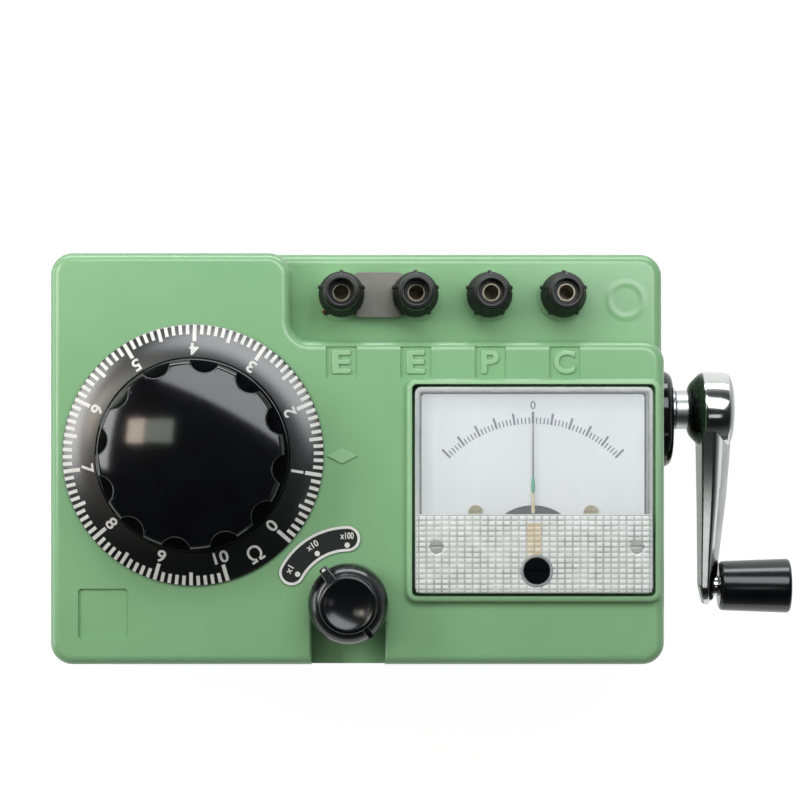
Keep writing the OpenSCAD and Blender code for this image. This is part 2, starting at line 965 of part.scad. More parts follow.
// Flat spiral ribbon from near the staff out to a bridge pillar
module hairspring() {
    turns = 4;
    inner = 1.3;
    outer = bridge_half - bridge_post_d / 2;
    ribbon = 0.25;
    steps = 24;
    count = turns * steps;
    function spiral(k, shift) = (inner + (outer - inner) * k / count + shift)
        * [cos(360 * k / steps), sin(360 * k / steps)];
    color("Goldenrod")
        translate([pivot_at[0], pivot_at[1], magnet_top + 2.4])
            linear_extrude(0.6)
                polygon(concat(
                    [for (k = [0 : count]) spiral(k, 0)],
                    [for (k = [count : -1 : 0]) spiral(k, -ribbon)]
                ));
}

// White plate with a round notch over the movement
module scale_plate() {
    notch_y = pivot_at[1] - cutout_drop;
    low_y = cover_screw_y + cover_post_d / 2 + 1;
    color("White")
        difference() {
            translate([meter_x, (scale_top_y + low_y) / 2, 0])
                rounded_slab([2 * scale_half_l, scale_top_y - low_y], 1, plate_z, scale_t);
            post([pivot_at[0], notch_y], plate_z - 1, scale_t + 2, 2 * cutout_r);
        }
}

module scale_pillars() {
    foot_z = seat_z - drum_h + drum_wall;
    color("Goldenrod")
        for (at = scale_screws) {
            post(at, foot_z, plate_z - foot_z, scale_pillar_d);
            difference() {
                post(at, plate_z + scale_t, 1, 4);
                translate([at[0] - 3, at[1] - 0.3, plate_z + scale_t + 0.5])
                    cube([6, 0.6, 1]);
            }
        }
}

cover_screw_y = face_front + 12.8;
cover_screw_x = [meter_x + 5.9 - face_l / 2, meter_x - 4.4 + face_l / 2];
cover_screw_d = 3.6;
cover_post_d = 5.6;
adjuster_at = [meter_x + 0.7, face_front + 6.2];
adjuster_d = 7;
module meter_cover() {
    floor_z = seat_z + flange_h;
    color("LightCyan", 0.4)
        difference() {
            union() {
                translate([meter_x, meter_y, 0])
                    rounded_slab([face_l, face_w], pocket_r, floor_z, cover_top - floor_z);
                post(adjuster_at, cover_top - 1, 1.5, 8.9);
            }
            difference() {
                translate([meter_x, meter_y, 0])
                    rounded_slab([face_l - 2 * cover_t, face_w - 2 * cover_t], 0.6,
                        floor_z - 1, cover_under - floor_z + 1);
                for (x = cover_screw_x)
                    post([x, cover_screw_y], floor_z - 2, cover_top - floor_z, cover_post_d);
            }
            post(adjuster_at, cover_under - 1, 5, adjuster_d + 2 * run_fit);
            for (x = cover_screw_x) {
                post([x, cover_screw_y], cover_top - 1.2, 3, cover_screw_d + 2 * seat_fit);
                post([x, cover_screw_y], floor_z - 1, 10, 2 + 2 * seat_fit);
            }
        }
}

module cover_screws() {
    head_z = cover_top - 1.2;
    shank_z = seat_z + flange_h + 0.2;
    color("Silver")
        for (x = cover_screw_x)
            difference() {
                union() {
                    post([x, cover_screw_y], head_z, 1, cover_screw_d);
                    post([x, cover_screw_y], shank_z, head_z - shank_z + tiny, 2);
                }
                translate([x - 3, cover_screw_y - 0.3, cover_top - 0.7])
                    cube([6, 0.6, 1]);
            }
}

// Slotted black button with an eccentric pin below it
pin_r = 1.8;
pin_d = 1.2;
arm_z = bridge_z + bridge_t;
arm_t = 0.6;
module zero_adjuster() {
    color("Black")
        difference() {
            union() {
                post(adjuster_at, cover_under + 0.1, cover_top + 0.8 - cover_under - 0.1, adjuster_d);
                post(adjuster_at + [0, pin_r], arm_z - 0.2, cover_under - arm_z + 1.2, pin_d);
            }
            translate([adjuster_at[0] - 4, adjuster_at[1] - 0.5, cover_top + 0.1])
                cube([8, 1, 2]);
        }
}

// Forked arm on the upper jewel: the button's pin swings it and shifts the needle's rest
module zero_arm() {
    pin_at = adjuster_at + [0, pin_r] - pivot_at;
    reach = norm(pin_at) + 2;
    aim = atan2(pin_at[1], pin_at[0]);
    slot_w = pin_d + 0.3;
    color("Goldenrod")
        translate([pivot_at[0], pivot_at[1], arm_z])
            linear_extrude(arm_t)
                difference() {
                    union() {
                        circle(2);
                        rotate(aim)
                            translate([0, -1.4])
                                square([reach, 2.8]);
                    }
                    circle(0.6);
                    rotate(aim)
                        translate([reach - 4, -slot_w / 2])
                            square([5, slot_w]);
                }
}

module moving_coil() {
    low = magnet_low + 1.5 - air - coil_t;
    high = magnet_top - 1.5 + air;
    color("Peru")
        translate([pivot_at[0], pivot_at[1], 0]) {
            for (side = [-1, 1])
                translate([side < 0 ? -coil_r : coil_r - coil_t, -coil_w / 2, low])
                    cube([coil_t, coil_w, high + coil_t - low]);
            for (z = [low, high])
                translate([-coil_r, -coil_w / 2, z])
                    cube([2 * coil_r, coil_w, coil_t]);
            translate([0, 0, high])
                cylinder(h = needle_z - high, d = staff_d);
            translate([0, 0, magnet_low - low_drop])
                cylinder(h = low - magnet_low + low_drop + tiny, d = staff_d);
        }
}

module needle() {
    tail = 8;
    color("Black")
        translate([pivot_at[0], pivot_at[1], needle_z]) {
            cylinder(h = bridge_z + bridge_t - needle_z, d = staff_d);
            linear_extrude(0.5) {
                circle(1.6);
                polygon([[-0.5, 0], [-0.2, needle_l], [0.2, needle_l], [0.5, 0]]);
                polygon([[-0.8, 0], [-1.2, -tail], [1.2, -tail], [0.8, 0]]);
            }
        }
}

// Binding posts: a fixed stud with a plug socket, a captive collar and a screw cap
stud_flange_d = 12;
stud_flange_z = ledge_z + 1;
stud_flange_t = 1.5;
clamp_z = stud_flange_z + stud_flange_t;
collar_t = 1.2;
collar_d = 11.4;
stud_low = ledge_z - 14;
tag_t = 0.8;
post_nut_t = 3.2;
stud_top = clamp_z + collar_t + cap_h - cap_mouth;
linked = 2;
function post_at(i) = [post_x + i * post_pitch, post_y];
function rest_lift(i) = i < linked ? link_t : 0;

module terminal_studs() {
    socket_h = 14;
    color("Silver")
        for (i = [0 : posts - 1])
            difference() {
                union() {
                    post(post_at(i), stud_low, stud_top - stud_low, stud_d);
                    post(post_at(i), stud_flange_z, stud_flange_t, stud_flange_d);
                }
                post(post_at(i), stud_top - socket_h, socket_h + 1, socket_d);
            }
}

module solder_tags() {
    z = ledge_z - roof - tag_t;
    color("Goldenrod")
        for (i = [0 : posts - 1])
            difference() {
                union() {
                    post(post_at(i), z, tag_t, 9);
                    translate([post_at(i)[0] - 1.5, post_y - 12, z])
                        cube([3, 12, tag_t]);
                }
                post(post_at(i), z - 1, tag_t + 2, stud_d + 2 * run_fit);
                post(post_at(i) - [0, 10], z - 1, tag_t + 2, 1.4);
            }
}

module terminal_nuts() {
    z = ledge_z - roof - tag_t - post_nut_t;
    color("Silver")
        for (i = [0 : posts - 1])
            difference() {
                hexagon(post_at(i), z, post_nut_t, 8);
                post(post_at(i), z - 1, post_nut_t + 2, stud_d + 2 * run_fit);
            }
}

// Link across the first two studs. It swings about the first, and a curved notch lets the second out.
module link_plate() {
    lug_w = 10;
    middle_l = 13.8;
    notch_r = stud_d / 2 + 0.1;
    away = -40;
    color("Silver")
        translate([post_x, post_y, clamp_z])
            linear_extrude(link_t)
                difference() {
                    union() {
                        translate([post_pitch / 2, 0])
                            rounded_rect([middle_l, link_w], 1.5);
                        translate([0, -lug_w / 2])
                            square([post_pitch, lug_w]);
                        for (i = [0, 1])
                            translate([i * post_pitch, 0])
                                circle(d = lug_w);
                    }
                    circle(d = stud_d + 2 * run_fit);
                    translate([post_pitch, 0])
                        circle(notch_r);
                    intersection() {
                        difference() {
                            circle(post_pitch + notch_r);
                            circle(post_pitch - notch_r);
                        }
                        polygon([[0, 0], 2 * post_pitch * [cos(away), sin(away)], [2 * post_pitch, 0]]);
                    }
                }
}

module terminal_collar(i) {
    color("Goldenrod")
        ring(post_at(i), clamp_z + rest_lift(i), collar_t, collar_d, stud_d + 2 * run_fit);
}

module terminal_cap(i) {
    ribs = 5;
    first_rib = 18;
    rib_h = cap_h - 3.5;
    top_h = 1.6;
    mouth_d = 6.8;
    foot_h = 1.5;
    color("Black")
        translate([post_at(i)[0], post_y, clamp_z + rest_lift(i) + collar_t])
            difference() {
                union() {
                    cylinder(h = foot_h, d = cap_d);
                    translate([0, 0, foot_h])
                        cylinder(h = cap_h - foot_h - top_h, d1 = cap_d, d2 = cap_top_d + 1);
                    cylinder(h = cap_h, d = cap_top_d);
                    for (k = [0 : ribs - 1])
                        rotate(first_rib + k * 360 / ribs)
                            rotate([90, 0, 0])
                                linear_extrude(0.9, center = true)
                                    polygon([
                                        [0, 0],
                                        [cap_d / 2 + 0.5, 0],
                                        [cap_top_d / 2 + 1.1, rib_h],
                                        [0, rib_h]
                                    ]);
                }
                translate([0, 0, -1])
                    cylinder(h = cap_h + 2, d = stud_d + 2 * run_fit);
                translate([0, 0, cap_h - cap_mouth])
                    cylinder(h = cap_mouth + 1, d = mouth_d);
            }
}

module terminal_cap_1() { terminal_cap(0); }
module terminal_cap_2() { terminal_cap(1); }
module terminal_cap_3() { terminal_cap(2); }
module terminal_cap_4() { terminal_cap(3); }
module terminal_collar_1() { terminal_collar(0); }
module terminal_collar_2() { terminal_collar(1); }
module terminal_collar_3() { terminal_collar(2); }
module terminal_collar_4() { terminal_collar(3); }

// Crank: bearing in the right wall, sleeve, belled hub, curved arm and a turning grip
cover_x = pad_x;
cover_h_x = 5.4;
sleeve_x = cover_x + cover_h_x + air;
sleeve_l = 3.6;
hub_x = sleeve_x + sleeve_l;
hub_end = hub_x + hub_l;
shaft_in_x = case_x - 25.25;
grip_at = [crank_y - crank_arm_l, crank_z];
arm_back = 3.2;
arm_tip_t = 5.2;
grip_gap = 0.6;
grip_x = hub_x + arm_back + arm_tip_t + grip_gap;
grip_end_x = grip_x + grip_l;
grip_head_t = 1.2;

module bearing_cover() {
    top_round = 2.5;
    color("Black")
        difference() {
            union() {
                crank_obround(cover_foot_d, cover_x, cover_h_x - top_round);
                for (shift = [0, -cover_spread])
                    translate([cover_x, crank_y + shift, crank_z])
                        rotate([0, 90, 0])
                            rotate_extrude()
                                domed_section(cover_foot_d / 2, 0, cover_h_x, 60, top_round);
                translate([cover_x, crank_y, crank_z])
                    rotate([90, 0, 0])
                        linear_extrude(cover_spread)
                            rotate(-90)
                                for (side = [0, 1])
                                    mirror([side, 0])
                                        domed_section(cover_foot_d / 2, 0, cover_h_x, 60, top_round);
            }
            along_x(crank_line, cover_x - 1, cover_x + cover_h_x + 1, bush_outer_d + 2 * seat_fit);
        }
}

module bearing_bush() {
    color("Goldenrod")
        tube_x(crank_line, case_x - wall, cover_x + cover_h_x, bush_outer_d, crank_shaft_d + 2 * run_fit);
}

module crank_sleeve() {
    color("Silver")
        tube_x(crank_line, sleeve_x, hub_x, sleeve_d, crank_shaft_d + 2 * seat_fit);
}

module crank_arm() {
    flare_l = 3;
    end_r = 3;
    bore_l = hub_l - 4;
    tip_r = 5.5;
    neck_r = 9.5;
    back_x = hub_x + arm_back;
    // Thickness of the arm seen from above: flat inner face, outer face drawn in towards the tip
    module arm_thickness() {
        reach = crank_arm_l + tip_r;
        translate([0, crank_y])
            polygon([
                [back_x, 0],
                [back_x + 0.3, -29],
                [back_x + 0.3, -crank_arm_l],
                [back_x + 1.3, 0.3 - reach],
                [back_x + 2.6, 0.1 - reach],
                [back_x + 4.2, 1.6 - reach],
                [back_x + arm_tip_t, -crank_arm_l + 4],
                [back_x + 5.7, -43],
                [back_x + 6.4, -34],
                [back_x + 7.4, -24],
                [back_x + 8.5, -13],
                [back_x + 9.3, -6],
                [back_x + 9.4, 0]
            ]);
    }
    module arm_outline() {
        slope = asin((neck_r - tip_r) / crank_arm_l);
        polygon([
            crank_line + neck_r * [-sin(slope), cos(slope)],
            grip_at + tip_r * [-sin(slope), cos(slope)],
            grip_at + tip_r * [-sin(slope), -cos(slope)],
            crank_line + neck_r * [-sin(slope), -cos(slope)]
        ]);
        translate(crank_line)
            circle(neck_r);
        translate(grip_at)
            circle(tip_r);
    }
    color("Silver")
        difference() {
            union() {
                translate([hub_x, crank_y, crank_z])
                    rotate([0, 90, 0]) {
                        cylinder(h = flare_l, d1 = sleeve_d + 1.6, d2 = hub_d - 1.4);
                        translate([0, 0, flare_l])
                            cylinder(h = 1, d1 = hub_d - 1.4, d2 = hub_d);
                        translate([0, 0, flare_l + 1])
                            rotate_extrude()
                                domed_section(hub_d / 2, 0, hub_l - flare_l - 1, 40, end_r);
                    }
                intersection() {
                    translate([0, 0, crank_z - hub_d])
                        linear_extrude(2 * hub_d)
                            arm_thickness();
                    translate([hub_x, 0, 0])
                        rotate([90, 0, 90])
                            linear_extrude(2 * hub_l)
                                arm_outline();
                }
            }
            along_x(crank_line, hub_x - 1, hub_x + bore_l, crank_shaft_d + 2 * seat_fit);
        }
    color("Silver") {
        along_x(grip_at, back_x + 2, grip_end_x - 2.4 + tiny, spindle_d);
        along_x(grip_at, grip_end_x - 2.4, grip_end_x - 2.4 + grip_head_t, 7);
    }
}

module crank_grip() {
    round_r = 2.2;
    color("Black")
        translate([grip_x, grip_at[0], grip_at[1]])
            rotate([0, 90, 0])
                difference() {
                    rotate_extrude() {
                        polygon([
                            [0, 0],
                            [grip_d / 2 - round_r, 0],
                            [grip_d / 2, round_r],
                            [grip_end_d / 2, grip_l - round_r],
                            [grip_end_d / 2 - round_r, grip_l],
                            [0, grip_l]
                        ]);
                        translate([grip_d / 2 - round_r, round_r])
                            circle(round_r);
                        translate([grip_end_d / 2 - round_r, grip_l - round_r])
                            circle(round_r);
                    }
                    translate([0, 0, -1])
                        cylinder(h = grip_l + 2, d = spindle_d + 2 * run_fit);
                    translate([0, 0, grip_l - 2.8])
                        cylinder(h = 4, d = 8);
                }
}

module crank_shaft() {
    color("Silver")
        along_x(crank_line, shaft_in_x, hub_x + hub_l - 5, crank_shaft_d);
}

// Gear train from the crank to the generator, between two plates on pillars
pressure = 25;
addendum = 0.8;
dedendum = 1.05;
gear_1_x = plate_out_x - 1 - gear_t;
gear_2_x = gear_1_x - 8.5;
plate_in_x = case_x - 24.25;
stage_1 = module_1 * (teeth_1 + teeth_2) / 2;
stage_2 = module_2 * (teeth_3 + teeth_4) / 2;
angle_1 = 225;
angle_2 = -10;
idler_line = crank_line + stage_1 * [cos(angle_1), sin(angle_1)];
rotor_line = idler_line + stage_2 * [cos(angle_2), sin(angle_2)];
idler_shaft_d = 4;

// Involute angle at a radius, from where it leaves its base circle
function involute(base, r) =
    let (t = sqrt(max(0, pow(r / base, 2) - 1)))
    t * 180 / PI - atan(t);

// Turn of a gear that brings it into mesh with one whose teeth and turn are given
function meshed(teeth_a, turn_a, teeth_b, direction) =
    direction + 180 - (0.5 - (direction - turn_a) * teeth_a / 360) * 360 / teeth_b;

// Outline of a gear with involute flanks
module gear_outline(teeth, m) {
    pitch_r = m * teeth / 2;
    base_r = pitch_r * cos(pressure);
    tip_r = pitch_r + addendum * m;
    root_r = pitch_r - dedendum * m;
    flanks = 3;
    start_r = max(base_r, root_r);
    half_pitch = 90 / teeth - backlash / pitch_r / 4 * 180 / PI;
    function half_angle(r) = half_pitch + involute(base_r, pitch_r) - involute(base_r, r);
    radii = [for (k = [0 : flanks]) start_r + (tip_r - start_r) * k / flanks];
    function flank(mid, r, side) = r * [cos(mid + side * half_angle(r)), sin(mid + side * half_angle(r))];
    function root(mid, side) = root_r
        * [cos(mid + side * half_angle(start_r)), sin(mid + side * half_angle(start_r))];
    polygon([
        for (i = [0 : teeth - 1])
            let (mid = i * 360 / teeth)
            each concat(
                [root(mid, -1)],
                [for (k = [0 : flanks]) flank(mid, radii[k], -1)],
                [for (k = [flanks : -1 : 0]) flank(mid, radii[k], 1)],
                [root(mid, 1)]
            )
    ]);
}

// Gear on a line along X, turned so that it meshes
module gear_x(line, x, wide, teeth, m, turn) {
    translate([x, line[0], line[1]])
        rotate([90, 0, 90])
            linear_extrude(wide)
                rotate(turn)
                    gear_outline(teeth, m);
}

turn_2 = meshed(teeth_1, 0, teeth_2, angle_1);
turn_4 = meshed(teeth_3, 0, teeth_4, angle_2);

module crank_gear() {
    spokes = 5;
    window_r = 6.5;
    color("Goldenrod")
        difference() {
            union() {
                gear_x(crank_line, gear_1_x, gear_t, teeth_1, module_1, 0);
                along_x(crank_line, gear_1_x - 4, gear_1_x + tiny, 16);
            }
            along_x(crank_line, gear_1_x - 5, gear_1_x + gear_t + 1, crank_shaft_d + 2 * seat_fit);
            for (i = [0 : spokes - 1])
                along_x(crank_line + 18 * [cos(i * 360 / spokes), sin(i * 360 / spokes)],
                    gear_1_x - 1, gear_1_x + gear_t + 1, 2 * window_r);
        }
}

module idler_gear() {
    color("Goldenrod") {
        gear_x(idler_line, gear_1_x - 0.5, gear_t + 1, teeth_2, module_1, turn_2);
        gear_x(idler_line, gear_2_x, gear_t, teeth_3, module_2, 0);
        along_x(idler_line, gear_2_x + gear_t - tiny, gear_1_x - 0.5 + tiny, 10);
    }
    color("Silver")
        along_x(idler_line, plate_in_x - 1, plate_out_x + plate_t + 1, idler_shaft_d);
}

plate_low = 13;
plate_high = 74;
plate_y = [-44, 46];
pillars = [[38, 18], [43, 40], [-41, 70], [-40, 18]];
module frame_plate(x) {
    size = [plate_y[1] - plate_y[0], plate_high - plate_low];
    difference() {
        translate([x, (plate_y[0] + plate_y[1]) / 2, (plate_low + plate_high) / 2])
            rotate([90, 0, 90])
                linear_extrude(plate_t)
                    rounded_rect(size, 3);
        along_x(crank_line, x - 1, x + plate_t + 1, crank_shaft_d + 2 * run_fit);
        along_x(idler_line, x - 1, x + plate_t + 1, idler_shaft_d + 2 * run_fit);
        along_x(rotor_line, x - 1, x + plate_t + 1, rotor_shaft_d + 2 * run_fit);
    }
}

module frame_plates() {
    color("LightSteelBlue") {
        frame_plate(plate_in_x);
        frame_plate(plate_out_x);
    }
}

module frame_pillars() {
    color("Silver")
        for (at = pillars)
            along_x(at, plate_in_x + plate_t, plate_out_x, 6);
}

can_x = plate_in_x - stator_l;
can_wall = 1.5;
core_l = 24;
core_x = can_x + (stator_l - core_l) / 2;
brush_l = 9;
rectifier_d = 14;
brush_reach = 12;
module stator_can() {
    color("LightGray") {
        difference() {
            union() {
                along_x(rotor_line, can_x, plate_in_x, stator_d);
                along_x(rotor_line, plate_in_x - 2.5, plate_in_x, stator_d + 5);
            }
            along_x(rotor_line, can_x + 3, plate_in_x + 1, stator_d - 2 * can_wall);
            along_x(rotor_line, can_x - 1, can_x + 5, rotor_shaft_d + 2 * run_fit);
        }
    }
}

module stator_windings() {
    core_in = rotor_d + 1;
    core_out = stator_d - 2 * can_wall - 2 * seat_fit;
    color("Gray")
        tube_x(rotor_line, core_x, core_x + core_l, core_out, core_in);
    color("Peru") {
        tube_x(rotor_line, core_x - 4, core_x, core_out - 6, core_in + 3);
        tube_x(rotor_line, core_x + core_l, core_x + core_l + 4, core_out - 6, core_in + 3);
    }
}

module generator_rotor() {
    drum_x = can_x - 1 - brush_l;
    color("DimGray")
        along_x(rotor_line, core_x + 1, core_x + core_l - 1, rotor_d);
    color("Silver")
        along_x(rotor_line, can_x - 12, gear_2_x + gear_t + 1, rotor_shaft_d);
    color("Goldenrod")
        gear_x(rotor_line, gear_2_x - 0.5, gear_t + 1, teeth_4, module_2, turn_4);
    color("Peru")
        along_x(rotor_line, drum_x, can_x - 1, rectifier_d);
}

module brush_holder() {
    inner = rectifier_d + 8;
    low = rectifier_d / 2 + air;
    color("SaddleBrown")
        tube_x(rotor_line, can_x - brush_l, can_x, inner + 8, inner);
    color("DimGray")
        for (z = [-brush_reach, low])
            translate([can_x - brush_l / 2 - 2, rotor_line[0] - 1.5, rotor_line[1] + z])
                cube([4, 3, brush_reach - low]);
}

// Current transformer and the component board, fixed to the base plate
transformer_at = [42.25 - case_x, case_y - 28.5];
transformer_core = [36, 14, 34];
module transformer() {
    at = transformer_at;
    core = transformer_core;
    color("DimGray")
        difference() {
            translate([at[0] - core[0] / 2, at[1] - core[1] / 2, base_t])
                cube(core);
            for (side = [-1, 1])
                translate([at[0] + side * 9 - 3, at[1] - core[1], base_t + 6])
                    cube([6, 2 * core[1], core[2] - 12]);
        }
    color("Peru")
        difference() {
            translate([at[0] - 12, at[1] - 12, base_t + 6])
                cube([24, 24, core[2] - 12]);
            translate([at[0] - 6, at[1] - 7, base_t + 5])
                cube([12, 14, core[2]]);
            for (side = [-1, 1])
                translate([at[0] + side * 15 - 3, at[1] - 7, base_t + 5])
                    cube([6, 14, core[2]]);
        }
}

board_at = [50.25 - case_x, 30.5 - case_y];
board_size = [66, 38];
module component_board() {
    size = board_size;
    at = board_at;
    z = base_t + 9;
    board_t = 1.6;
    part_d = 4.4;
    parts_on = 6;
    color("SaddleBrown")
        translate([at[0] - size[0] / 2, at[1] - size[1] / 2, z])
            cube([size[0], size[1], board_t]);
    color("Silver")
        for (sx = [-1, 1], sy = [-1, 1])
            post(at + [sx * (size[0] / 2 - 4), sy * (size[1] / 2 - 4)], base_t, z - base_t, 5);
    color("Tan")
        for (i = [0 : parts_on - 1])
            translate([at[0] - 22 + i * 9, at[1] - 6, z + board_t + part_d / 2 - 0.2])
                rotate([-90, 0, 0])
                    cylinder(h = 12, d = part_d);
}

housing();
base_plate();
rubber_feet();
base_screws();
dial_disc();
dial_knob();
dial_shaft();
wiper_arm();
slide_wire_base();
slide_wire();
shaft_bushes();
bush_nuts();
range_plate();
range_knob();
range_shaft();
range_rotor();
range_frame();
range_wafer();
meter_drum();
meter_studs();
meter_magnet();
meter_core();
pivot_bridges();
hairspring();
scale_plate();
scale_pillars();
meter_cover();
cover_screws();
zero_adjuster();
zero_arm();
moving_coil();
needle();
terminal_studs();
terminal_nuts();
solder_tags();
link_plate();
terminal_cap_1();
terminal_cap_2();
terminal_cap_3();
terminal_cap_4();
terminal_collar_1();
terminal_collar_2();
terminal_collar_3();
terminal_collar_4();
bearing_cover();
bearing_bush();
crank_arm();
crank_sleeve();
crank_grip();
crank_shaft();
crank_gear();
frame_plates();
frame_pillars();
idler_gear();
stator_can();
stator_windings();
generator_rotor();
brush_holder();
transformer();
component_board();
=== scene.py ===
import json
import math
import bmesh
import bpy
import numpy as np
from functools import partial
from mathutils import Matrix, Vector

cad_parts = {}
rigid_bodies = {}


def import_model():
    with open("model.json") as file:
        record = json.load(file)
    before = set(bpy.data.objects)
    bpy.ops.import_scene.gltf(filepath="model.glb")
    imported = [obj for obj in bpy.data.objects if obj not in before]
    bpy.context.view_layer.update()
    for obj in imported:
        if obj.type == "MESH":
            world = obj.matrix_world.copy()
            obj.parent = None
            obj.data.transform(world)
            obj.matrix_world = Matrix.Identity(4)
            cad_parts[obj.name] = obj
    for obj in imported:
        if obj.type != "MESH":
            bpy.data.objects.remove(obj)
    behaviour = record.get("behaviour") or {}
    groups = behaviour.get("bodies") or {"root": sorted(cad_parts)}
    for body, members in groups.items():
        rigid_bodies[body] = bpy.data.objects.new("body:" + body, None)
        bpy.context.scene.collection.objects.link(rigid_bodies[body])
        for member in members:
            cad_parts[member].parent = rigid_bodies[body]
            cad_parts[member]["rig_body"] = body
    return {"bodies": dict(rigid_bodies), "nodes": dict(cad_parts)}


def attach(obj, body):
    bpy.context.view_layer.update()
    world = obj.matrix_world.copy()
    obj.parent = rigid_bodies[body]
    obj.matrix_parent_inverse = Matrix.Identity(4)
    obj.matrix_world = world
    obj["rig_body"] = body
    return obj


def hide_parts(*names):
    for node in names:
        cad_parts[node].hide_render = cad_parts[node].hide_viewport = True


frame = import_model()
cad = frame["nodes"]
ownObjects = list(cad.values()) + list(frame["bodies"].values())
for leftover in [o for o in bpy.data.objects if o not in ownObjects]:
    bpy.data.objects.remove(leftover)  # whatever the start-up file holds
bpy.context.view_layer.update()
mm = 0.001
hair = 1e-6  # metres: points closer than this are one point
scene = bpy.context.scene
scene.view_settings.view_transform = "Standard"
print("frame loaded,", len(cad), "nodes")


# Small tools

# Faces between the rows and columns of a grid of points
def gridFaces(rows, columns, wrapRows=False, wrapColumns=True):
    index = np.arange(rows * columns).reshape(rows, columns)
    here = index if wrapRows else index[:-1]
    below = np.roll(index, -1, 0) if wrapRows else index[1:]
    quads = np.stack([here, np.roll(here, -1, 1), np.roll(below, -1, 1), below], -1)
    return (quads if wrapColumns else quads[:, :-1]).reshape(-1, 4)


# A grid of points as one shape: its points and the faces between them, with lids over its two end rows if asked
def skin(grid, lids=False, **wraps):
    rows, columns = grid.shape[:2]
    faces = gridFaces(rows, columns, **wraps)
    if lids:
        faces = [*faces.tolist(), list(range(columns)), list(range(rows * columns - 1, (rows - 1) * columns - 1, -1))]
    return grid, faces


# A grid whose rows are outlines: each is drawn in or out by an offset and lies at a height
def stacked(outline, rows):
    loops = [(outline(off), z) for off, z in rows]
    return np.stack([np.column_stack([loop, np.full(len(loop), z)]) for loop, z in loops])


# A line whose inner corners are parabolas between points set back from each corner by its radius
def roundedLine(points, radii, steps=5):
    line = np.asarray(points, float)
    corner = line[1:-1]
    radii = np.broadcast_to(np.asarray(radii, float), len(corner))[:, None]

    def setBack(other):
        way = other - corner
        return corner + way / np.linalg.norm(way, axis=1)[:, None] * radii

    before, after = setBack(line[:-2]), setBack(line[2:])
    t = np.linspace(0, 1, steps)[None, :, None]
    curve = (1 - t) ** 2 * before[:, None] + 2 * t * (1 - t) * corner[:, None] + t ** 2 * after[:, None]
    return np.vstack([line[:1], curve.reshape(-1, 2), line[-1:]])


# Places at a distance along a direction from a centre, and at a distance across it
def fromCentre(centre, aimDeg, along, across=0):
    c, s = np.cos(np.radians(aimDeg)), np.sin(np.radians(aimDeg))
    return centre[0] + along * c - across * s, centre[1] + along * s + across * c


# A line of radius and height turned about an axis: across = r cos a, r sin a; along = height
def turned(line, centre, steps=96, axis="z"):
    angle = np.linspace(0, 2 * np.pi, steps, endpoint=False)[None, :]
    r, h = np.asarray(line, float)[:, :1], np.asarray(line, float)[:, 1:]
    u, v, w = r * np.cos(angle), r * np.sin(angle), h + 0 * angle
    grid = np.stack([u, v, w] if axis == "z" else [w, u, v], -1)
    return grid + np.asarray(centre, float)


# An object that holds some data, linked to the scene
def linked(name, data):
    made = bpy.data.objects.new(name, data)
    scene.collection.objects.link(made)
    return made


# The points and faces of a mesh that isn't needed any more
def taken(mesh):
    at = np.array([v.co for v in mesh.vertices], float).reshape(-1, 3)
    faces = [list(p.vertices) for p in mesh.polygons]
    bpy.data.meshes.remove(mesh)
    return at, faces


# Points in millimetres and faces become one shaded piece that rides on a body, and may stand for CAD nodes
def makePiece(name, shapes, finish, body, stands=(), sharpDeg=35, soften=0.0):
    points, faces, start = [], [], 0
    for shapePoints, shapeFaces in shapes:
        flat = np.asarray(shapePoints, float).reshape(-1, 3)
        points.append(flat)
        faces += [[int(k) + start for k in face] for face in shapeFaces]
        start += len(flat)
    mesh = bpy.data.meshes.new(name)
    mesh.from_pydata((np.vstack(points) * mm).tolist(), [], faces)
    work = bmesh.new()
    work.from_mesh(mesh)
    bmesh.ops.remove_doubles(work, verts=work.verts, dist=2 * hair)
    bmesh.ops.dissolve_degenerate(work, dist=hair, edges=work.edges)
    bmesh.ops.recalc_face_normals(work, faces=work.faces)
    work.to_mesh(mesh)
    work.free()
    return dress(name, mesh, finish, body, stands, sharpDeg, soften)


# Links the piece, smooths its faces and softens its edges by a bevel
def dress(name, mesh, finish, body, stands, sharpDeg, soften):
    mesh.materials.clear()
    mesh.materials.append(finish)
    mesh.shade_smooth()
    mesh.set_sharp_from_angle(angle=math.radians(sharpDeg))
    piece = linked(name, mesh)
    if soften:
        bevel = piece.modifiers.new("edge", "BEVEL")
        bevel.width = soften * mm
        bevel.segments = 2
        bevel.limit_method = "ANGLE"
        bevel.angle_limit = math.radians(sharpDeg)
        piece.modifiers.new("even", "WEIGHTED_NORMAL").keep_sharp = True
    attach(piece, body)
    if stands:
        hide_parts(*stands)
    return piece


# Gives another finish to some faces, chosen by their middles in millimetres and their normals
def splitFinish(piece, finish, chosen):
    piece.data.materials.append(finish)
    sides = piece.data.polygons
    middles, normals = np.empty((2, len(sides) * 3))
    slots = np.empty(len(sides), np.int32)
    for key, values in (("center", middles), ("normal", normals), ("material_index", slots)):
        sides.foreach_get(key, values)
    slots[chosen(middles.reshape(-1, 3) / mm, normals.reshape(-1, 3))] = len(piece.data.materials) - 1
    sides.foreach_set("material_index", slots)


